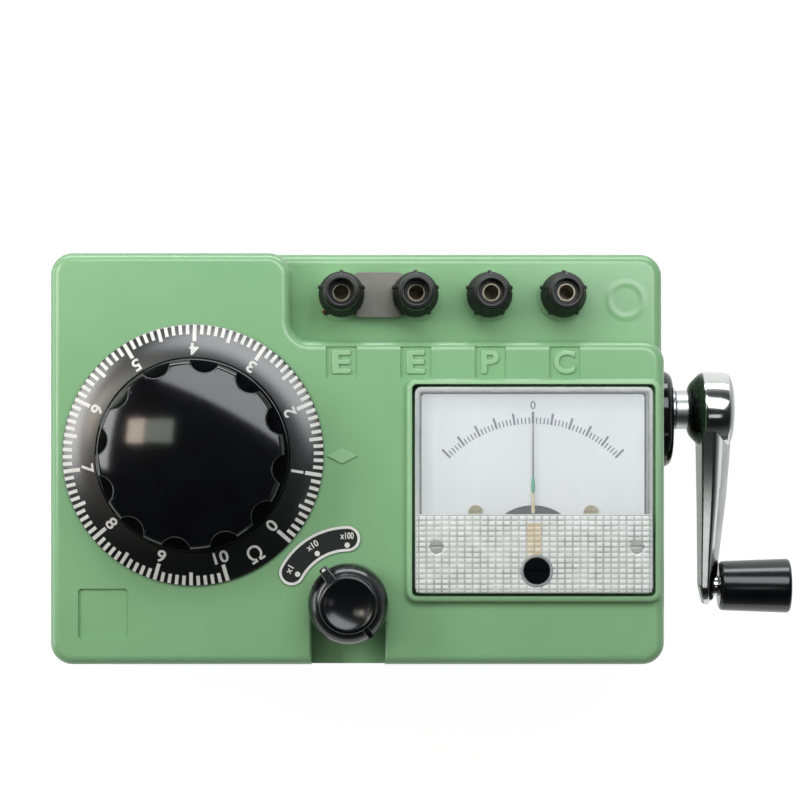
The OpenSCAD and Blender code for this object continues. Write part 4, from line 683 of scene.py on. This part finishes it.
# The cover's outline drawn in by an inset: straight sides and four quarter circles
def coverOutline(inset, steps=8):
    r = max(cover["corner"] - inset, cover["innerCorner"])
    x, y = cover["long"] / 2 - inset - r, cover["wide"] / 2 - inset - r
    turn = np.linspace(0, 90, steps)
    quarters = [fromCentre(middle, turn + 90 * q, r) for q, middle in enumerate([(x, y), (-x, y), (-x, -y), (x, -y)])]
    return np.hstack(quarters).T + np.array(cover["at"])


coverTop, wall, sunkTop = cover["top"], cover["wall"], cover["top"] - cover["sunk"]
edge = roundedLine([[0, cover["low"] + cover["straight"]], [0, coverTop], [wall, coverTop]], cover["soft"], 6)
ringTop, (inR, outR) = coverTop + cover["ringHigh"], cover["ringR"]
ringLine = [[inR, sunkTop], [inR, ringTop], [outR, ringTop], [outR, sunkTop], [inR, sunkTop]]
ring = turned(roundedLine(ringLine, cover["ringSoft"]), (*cover["ringAt"], 0), 48)
makePiece("adjusterRing", [skin(ring)], greyAcrylic, "tester", ("meter_cover",))
inside, strip = wall - cover["strip"], coverTop + cover["proud"]
inner = stacked(coverOutline, [(inside, sunkTop), (inside, strip), (wall, strip), (wall, sunkTop)])
makePiece("coverInnerEdge", [skin(inner, wrapRows=True)], greyAcrylic, "tester", ("meter_cover",))
outside = stacked(coverOutline, [(0, cover["low"]), *edge, (wall, cover["low"])])
walls = makePiece("coverWalls", [skin(outside, wrapRows=True)], paleAcrylic, "tester", ("meter_cover",))
grid = stacked(coverOutline, [(wall + cover["gap"], coverTop), (wall + cover["gap"], cover["under"])])
window = makePiece("coverWindow", [skin(grid, lids=True)], clearAcrylic, "tester", ("meter_cover",))
walls.visible_shadow = window.visible_shadow = False  # clear acrylic lets the light through to the plate
softened("cover_screws", "coverScrews", nickelBrass, 0.15)


# Pressed part: height = base + low + deep * (|sin| across * |sin| along) ** 0.5, drawn down to the base round the
# screws and the adjuster and along its own edge, with a bright bead along its upper edge
band = {"x": (16.1, 80.3), "y": (-36.45, -15.4), "pitchX": 2.1, "pitchY": 1.45, "base": 114.38, "low": 0.05,
        "deep": 0.24, "fade": (0.4, 0.3), "holes": ((21.6, -24.0, 2.0), (76.3, -24.0, 2.0), (48.9, -30.6, 4.3)),
        "beadWide": 0.55, "beadHigh": 0.3, "coilAt": (48.2, -24.1, 114.5), "coilHalf": (2.1, 6.5, 1)}
xs = np.linspace(*band["x"], int(np.ptp(band["x"]) / band["pitchX"] * 8))
ys = np.linspace(*band["y"], int(np.ptp(band["y"]) / band["pitchY"] * 6))
gx, gy = np.meshgrid(xs, ys)
ripple = np.sin(np.pi * (gx - cover["at"][0]) / band["pitchX"]) * np.sin(np.pi * (gy - band["y"][1]) / band["pitchY"])
free = np.min([np.hypot(gx - hx, gy - hy) - hr for hx, hy, hr in band["holes"]], axis=0)
border = np.minimum.reduce([gx - xs[0], xs[-1] - gx, gy - ys[0], ys[-1] - gy])
fade = np.clip(free / band["fade"][0], 0, 1) * np.clip(border / band["fade"][1], 0, 1)
pillows = np.stack([gx, gy, band["base"] + (band["low"] + band["deep"] * np.sqrt(np.abs(ripple))) * fade], -1)
quads = gridFaces(*gx.shape, wrapColumns=False)
quads = quads[free.ravel()[quads].max(1) > 0]
pressed = makePiece("pressedBand", [(pillows, quads)], pressedAcrylic, "tester", sharpDeg=85)
splitFinish(pressed, warmAcrylic, lambda m, n: (np.abs(m - band["coilAt"]) < band["coilHalf"]).all(1))
halfTurn, ends = np.linspace(0, np.pi, 9)[None, :], np.array(band["x"])[:, None]
bead = np.stack([ends + 0 * halfTurn, band["y"][1] + band["beadWide"] / 2 * np.cos(halfTurn) + 0 * ends,
                 band["base"] + band["beadHigh"] * np.sin(halfTurn) + 0 * ends], -1)
makePiece("bandBead", [skin(bead, lids=True, wrapColumns=False)], paleAcrylic, "tester", sharpDeg=85)


# Scale: 50 divisions over 90 degrees, every fifth longer, and a plain zero over the middle
scale = {"pivot": (48.2, -22.4), "top": 108.7, "inner": 32.0, "major": 35.2, "minor": 33.7, "spanDeg": 45,
         "divisions": 50, "wide": (0.62, 0.36), "proud": 0.03, "sunk": 0.05,
         "zeroY": 14.7, "zeroHigh": 2.3, "zeroSunk": 0.04, "zeroThick": 0.07, "zeroBold": 0.04}
count = np.arange(scale["divisions"] + 1)
isMajor = count % 5 == 0
angles = 90 + scale["spanDeg"] - count * 2 * scale["spanDeg"] / scale["divisions"]
bars = radialBars(scale["pivot"], angles, scale["inner"], np.where(isMajor, scale["major"], scale["minor"]),
                  np.where(isMajor, *scale["wide"]), scale["top"] - scale["sunk"], scale["top"] + scale["proud"])
zero = wording("0", (scale["pivot"][0], scale["zeroY"]), scale["zeroHigh"], 0, scale["top"] - scale["zeroSunk"],
               scale["zeroThick"], scale["zeroBold"])
makePiece("scaleMarks", [bars, zero], greyInk, "tester")


# Needle, sleeve and cement: thin tubes from the pivot outward. Each has its radius at each reach, the rounding of its
# corners and the share of its height that is left when it is pressed flat.
needle = {"z": 109.65, "steps": 12, "parts": (
    ("needleBlade", [[0, -8.0], [0.3, -7.9], [0.26, 10], [0.17, 30], [0.13, 35.3], [0, 35.5]], 0, 0.7, needleSteel,
     ("needle",)),
    ("needleSleeve", [[0, 13.0], [0.42, 13.2], [0.52, 15.0], [0.34, 17.3], [0, 17.5]], 0.1, 0.8, tealSleeve, ()),
    ("needleCement", [[0, 7.2], [0.55, 7.5], [0.46, 10.6], [0.32, 12.9], [0, 13.0]], 0.1, 0.8, creamCement, ()))}
for name, line, soft, flat, finish, stands in needle["parts"]:
    tube = turned(roundedLine(line, soft) if soft else line, (0, 0, 0), needle["steps"], "x")
    along, across, up = np.moveaxis(tube, -1, 0)
    grid = np.stack([scale["pivot"][0] - across, scale["pivot"][1] + along, needle["z"] + flat * up], -1)
    makePiece(name, [skin(grid)], finish, "pointer", stands)
print("meter made")


# Terminal caps: a cone with narrow ribs, a stepped top ring and a wide mouth over the socket. Section of the cap:
# radius between the ribs, height and radius on a rib, then radius and height where there are no ribs
cap = {"x": -4.4, "pitch": 20.4, "y": 45.2, "z": (106.2, 106.2, 104.7, 104.7), "footR": 6.3, "ribs": 5,
       "firstDeg": 18, "ribHalf": 0.45, "shoulder": (1.25, 0.8), "shadedBelowZ": 118.4, "upright": 0.25,
       "ribbed": [[5.6, 0, 6.5], [6.3, 0.25, 6.78], [6.3, 1.4, 6.72], [6.2, 1.7, 6.7], [5.95, 4.2, 6.4],
                  [5.65, 6.7, 6.1], [5.35, 9.2, 5.75], [5.12, 11.2, 5.5], [5.05, 11.9, 5.4]],
       "plain": [[5.0, 12.2], [4.85, 13.6], [4.7, 13.85], [4.42, 13.95], [4.3, 14.1], [4.3, 15.25], [4.22, 15.43],
                 [4.05, 15.5], [3.65, 15.5], [3.46, 15.43], [3.4, 15.25], [3.4, 12.6], [3.3, 12.5], [2.6, 12.5],
                 [2.5, 12.4], [2.5, 0.1], [2.6, 0]]}


# Radius at each height and angle: the cone's, or the rib's where the angle is on a rib
def capGrid(k, centre):
    halfDeg, pitch = math.degrees(k["ribHalf"] / k["footR"]), 360 / k["ribs"]
    out, top = halfDeg * k["shoulder"][0], halfDeg * k["shoulder"][1]
    local = np.concatenate([[-out, -top, 0, top], np.linspace(out, pitch - out, 17)[:-1]])
    angle = np.radians(k["firstDeg"] + np.arange(k["ribs"])[:, None] * pitch + local).ravel()
    onRib = np.tile(np.abs(local) < halfDeg, k["ribs"])[None, :]
    ribbed, plain = np.array(k["ribbed"]), np.array(k["plain"])
    section = np.vstack([ribbed, np.column_stack([plain, plain[:, 0]])])
    r = np.where(onRib, section[:, 2:], section[:, :1])
    return np.stack([r * np.cos(angle), r * np.sin(angle), section[:, 1:2] + 0 * r], -1) + np.array(centre)


for k in range(4):
    grid = capGrid(cap, (cap["x"] + k * cap["pitch"], cap["y"], cap["z"][k]))
    post = makePiece(f"postCap{k + 1}", [skin(grid, wrapRows=True)], blackNylon, f"cap_{k + 1}",
                     (f"terminal_cap_{k + 1}",), sharpDeg=30)
    # The upright faces take the darker, duller copy: painted shade
    splitFinish(post, shadedFlankNylon, lambda m, n: (np.abs(n[:, 2]) < cap["upright"]) & (m[:, 2] < cap["shadedBelowZ"]))


# Copper tab under the first post: a strip that leaves the ring along a radius and bends up at its end
tab = {"at": (-4.4, 45.2), "aimDeg": 226, "line": [[4.6, 102.05], [6.6, 102.05], [7.2, 102.6]], "bend": 0.4,
       "half": 0.8, "thick": 0.3}
line = roundedLine(tab["line"], tab["bend"])
corners = [np.column_stack([*fromCentre(tab["at"], tab["aimDeg"], line[:, 0], side * tab["half"]),
                            line[:, 1] + rise * tab["thick"]]) for side, rise in ((-1, 0), (1, 0), (1, 1), (-1, 1))]
makePiece("copperTab", [skin(np.stack(corners, 1), lids=True)], bareCopper, "tester", soften=0.06)
softened("link_plate", "linkPlate", brushedSteel, 0.2)
print("posts made")


# Crank: lathe-turned bell hub, forged arm with a ridge along it, spindle, and the grip. A turned part has its radius
# and place at each corner, then the radii that round the corners.
crank = {
    "y": 14.1, "z": 64.0, "armLong": 50.8, "hubX": 95.28, "backX": 98.48, "neck": 9.5, "tipR": 5.5,
    "straight": (4, 48), "backOf": 101.2, "hubEnd": 105.5, "facesBack": -0.35, "facesRight": (0.5, 0.8),
    "hub": ([[0, 0], [6.3, 0], [7.6, 0.6], [9.6, 2.4], [10.6, 3.6], [11.0, 4.6], [11.0, 9.6], [10.7, 11.6],
             [8.6, 12.75], [5.0, 13.1], [0, 13.2]], [0.4, 0.6, 1.0, 0.6, 0.5, 1.4, 0.9, 1.3, 1.6]),
    "inner": ((0, 29, 50.8, 56.0, 56.3), (0, 0.3, 0.3, 1.3, 2.2)),
    "outer": ((0, 6, 13, 24, 34, 43, 46.8, 50.8, 54.7, 56.3), (9.4, 9.4, 9.0, 8.1, 6.9, 5.8, 5.5, 5.1, 4.2, 2.8)),
    "spindle": ([[0, 100.48], [1.8, 100.48], [1.8, 122.38], [3.5, 122.38], [3.5, 123.58], [0, 123.58]],
                [0.1, 0.1, 0.1, 0.4]),
    "collar": ([[0, 102.6], [3.1, 102.6], [3.1, 104.1], [0, 104.1]], [0.3, 0.3]),
    "gripX": 104.28, "grip": ([[1.85, 0], [7.1, 0], [7.85, 20.49], [4.0, 20.49], [4.0, 17.7], [1.85, 17.7],
                               [1.85, 0]], [1.4, 1.2, 0.3, 0.1, 0.1], 9),
}


# Arm: at each reach the section has a flat inner shoulder and falls away outward, z = half height * (1 - fall),
# fall = 0.03 * (1 - u / 0.04) ** 2 at the inner edge and 0.92 * ((u - 0.36) / 0.64) ** 1.9 past the ridge
def armGrid(k):
    reach = np.concatenate([np.linspace(*k["straight"], 34),
                            k["armLong"] + k["tipR"] * np.sin(np.linspace(-0.5, np.pi / 2, 16))])
    inner, outer = np.interp(reach, *k["inner"])[:, None], np.interp(reach, *k["outer"])[:, None]
    past = np.clip(reach - k["armLong"], 0, k["tipR"])
    wide = np.where(reach > k["armLong"], np.sqrt(k["tipR"] ** 2 - past ** 2),
                    k["neck"] + (k["tipR"] - k["neck"]) * reach / k["armLong"])[:, None]
    u = np.concatenate([np.linspace(0, 0.04, 5)[:-1], np.linspace(0.04, 1, 28)])
    fall = 0.03 * np.clip(1 - u / 0.04, 0, None) ** 2 + 0.92 * np.clip((u - 0.36) / 0.64, 0, None) ** 1.9
    x = inner + (outer - inner) * np.concatenate([u, u[::-1]])
    z = wide * np.concatenate([1 - fall, (fall - 1)[::-1]])
    grid = np.stack([x + k["backX"], k["y"] - reach[:, None] + 0 * x, z + k["z"]], -1)
    first, last = (end.mean(1, keepdims=True) + 0 * end for end in (grid[:1], grid[-1:]))
    return np.vstack([first, grid, last])


gripAxis = (0, crank["y"] - crank["armLong"], crank["z"])
parts = [turned(roundedLine(*crank["hub"]) + [0, crank["hubX"]], (0, crank["y"], crank["z"]), 128, "x"),
         armGrid(crank),
         *(turned(roundedLine(*crank[key]), gripAxis, 48, "x") for key in ("spindle", "collar"))]
cranked = makePiece("crankArm", [skin(part) for part in parts], chrome, "crank", ("crank_arm",), sharpDeg=32)
# Faces that look back towards the case take the dark copy: painted shade
splitFinish(cranked, shadedBackChrome, lambda m, n: (n[:, 0] < crank["facesBack"]) & (m[:, 0] < crank["backOf"]))
# Faces that look to the right take the darker copy: painted shade
splitFinish(cranked, shadedRightChrome,
            lambda m, n: n[:, 0] > np.where(m[:, 0] > crank["hubEnd"], *crank["facesRight"]))
softened("crank_sleeve", "crankSleeve", turnedChrome, 0.2)
softened("bearing_cover", "bearingCover", blackPhenolic, 0.2)
grip = turned(roundedLine(*crank["grip"]) + [0, crank["gripX"]], gripAxis, 128, "x")
makePiece("crankGrip", [skin(grip)], satinPhenolic, "grip", ("crank_grip",))
print("crank made")


# Camera straight above the panel, as the photograph was taken; lens in mm on a 36 mm sensor
eye = {"height": 0.960, "lens": 139.53, "sensor": 36, "shift": (0.05325, 0.0733), "far": 20}
camera = linked("camera", bpy.data.cameras.new("camera"))
camera.location = (0, 0, eye["height"])
camera.data.lens, camera.data.sensor_width, camera.data.clip_end = eye["lens"], eye["sensor"], eye["far"]
camera.data.shift_x, camera.data.shift_y = eye["shift"]
scene.camera = camera


# Soft boxes: middle, turn about the upright, tilt, size, radiance and hue, with watts = radiance * pi * area.
# The first two hang level and light the panel from the left and the back. The next three are windows seen in the
# knob and a strip seen in the crank's arm. The tilted two stand upright and are seen in gloss only, along edges.
softBoxes = {
    "boxWest": ((-0.327, 0.099, 0.364), -9, 0, (0.18, 0.24), 6.0, "#FFFFFF"),
    "boxNorth": ((0.055, 0.170, 0.364), -27.2, 0, (0.345, 0.16), 4.2, "#FBFDFF"),
    "warmWindow": ((-0.349, 0.123, 0.71), -3, 0, (0.098, 0.123), 8.0, "#FFEEDC"),
    "dimWindow": ((-0.225, 0.118, 0.71), -3, 0, (0.148, 0.115), 2.8, "#F4FAEC"),
    "crankStrip": ((0.127, -0.070, 0.30), 0, 0, (0.032, 0.040), 1.1, "#FFFFFF"),
    "backStrip": ((0, 0.52, 0.20), 0, -90, (0.75, 0.16), 6.5, "#F4FBFF"),
    "leftStrip": ((-0.60, 0.05, 0.20), 90, -90, (0.5, 0.16), 3.5, "#F4FBFF"),
}
for name, (at, turnDeg, tiltDeg, size, radiance, hue) in softBoxes.items():
    light = bpy.data.lights.new(name, "AREA")
    light.shape = "RECTANGLE"
    light.size, light.size_y = size
    light.energy = radiance * math.pi * size[0] * size[1]
    light.color = tone(hue)[:3]
    holder = linked(name, light)
    holder.location = at
    holder.rotation_euler = (math.radians(tiltDeg), 0, math.radians(turnDeg))
    holder.visible_camera = False
    holder.visible_diffuse = not tiltDeg


# Room: the even fill is stronger from behind and from the left; gloss and glass see a pale horizon,
# bright behind and dim in front, under a dark ceiling; the camera sees white
room = {"lightFrom": (-0.55, 0.7, 0.45), "fill": (-1.0, 1.0, 0.05, 0.37), "behind": (-0.5, 0.5, 0.22, 1.0),
        "sky": ((0, 0.85), (0.3, 0.5), (0.62, 0.07), (1, 0.03)), "cool": 1.02}
world = bpy.data.worlds.new("studio")
scene.world = world
world.use_nodes = True
tree = world.node_tree
tree.nodes.clear()
way = addNode(tree, "TexCoord")
split = addNode(tree, "SeparateXYZ", {}, {}, {"Vector": way})
side = addNode(tree, "VectorMath", {"operation": "DOT_PRODUCT"}, {1: room["lightFrom"]}, {0: way})
ends = ("From Min", "From Max", "To Min", "To Max")
level = addNode(tree, "MapRange", {}, dict(zip(ends, room["fill"])), {"Value": side.outputs["Value"]})
behind = addNode(tree, "MapRange", {}, dict(zip(ends, room["behind"])), {"Value": split.outputs["Y"]})
sky = addNode(tree, "ValToRGB", {}, {}, {"Fac": split.outputs["Z"]})
stops = sky.color_ramp.elements
for position, _ in room["sky"][1:-1]:
    stops.new(position)
for stop, (_, shade) in zip(stops, room["sky"]):
    stop.color = (shade, shade, shade * room["cool"], 1)
path = addNode(tree, "LightPath")
fill = addNode(tree, "Background", {}, {"Color": (1, 1, 1, 1)}, {"Strength": level})
shown = addNode(tree, "Background", {}, {}, {"Color": sky, "Strength": behind})
white = addNode(tree, "Background", {}, {"Color": (1, 1, 1, 1), "Strength": 1.0})
seen = addNode(tree, "Math", {"operation": "MAXIMUM"}, {},
               {0: path.outputs["Is Glossy Ray"], 1: path.outputs["Is Transmission Ray"]})
first = addNode(tree, "MixShader", {}, {}, {0: seen, 1: fill, 2: shown})
second = addNode(tree, "MixShader", {}, {}, {0: path.outputs["Is Camera Ray"], 1: first, 2: white})
addNode(tree, "OutputWorld", {}, {}, {"Surface": second})


# Floor: pale sheet under the feet; it glows white to the camera and keeps the object's shadow
ground = {"half": 3.0, "z": -0.0026, "hue": "#F4F4F4", "glow": 1.3, "share": 0.72}
corners = [[x * ground["half"], y * ground["half"], ground["z"]] for x, y in ((-1, -1), (1, -1), (1, 1), (-1, 1))]
mesh = bpy.data.meshes.new("floor")
mesh.from_pydata(corners, [], [[0, 1, 2, 3]])
floor = linked("floor", mesh)
paper = bpy.data.materials.new("paleStudioPaper")
paper.use_nodes = True
tree = paper.node_tree
tree.nodes.clear()
path = addNode(tree, "LightPath")
seen = path
for kind in ("Is Glossy Ray", "Is Transmission Ray"):
    seen = addNode(tree, "Math", {"operation": "MAXIMUM"}, {}, {0: seen, 1: path.outputs[kind]})
share = addNode(tree, "Math", {"operation": "MULTIPLY"}, {1: ground["share"]}, {0: seen})
plain = addNode(tree, "BsdfDiffuse", {}, {"Color": tone(ground["hue"])})
glow = addNode(tree, "Emission", {}, {"Color": (1, 1, 1, 1), "Strength": ground["glow"]})
both = addNode(tree, "MixShader", {}, {}, {0: share, 1: plain, 2: glow})
addNode(tree, "OutputMaterial", {}, {}, {"Surface": both})
mesh.materials.append(paper)
print("camera, lights and floor made")
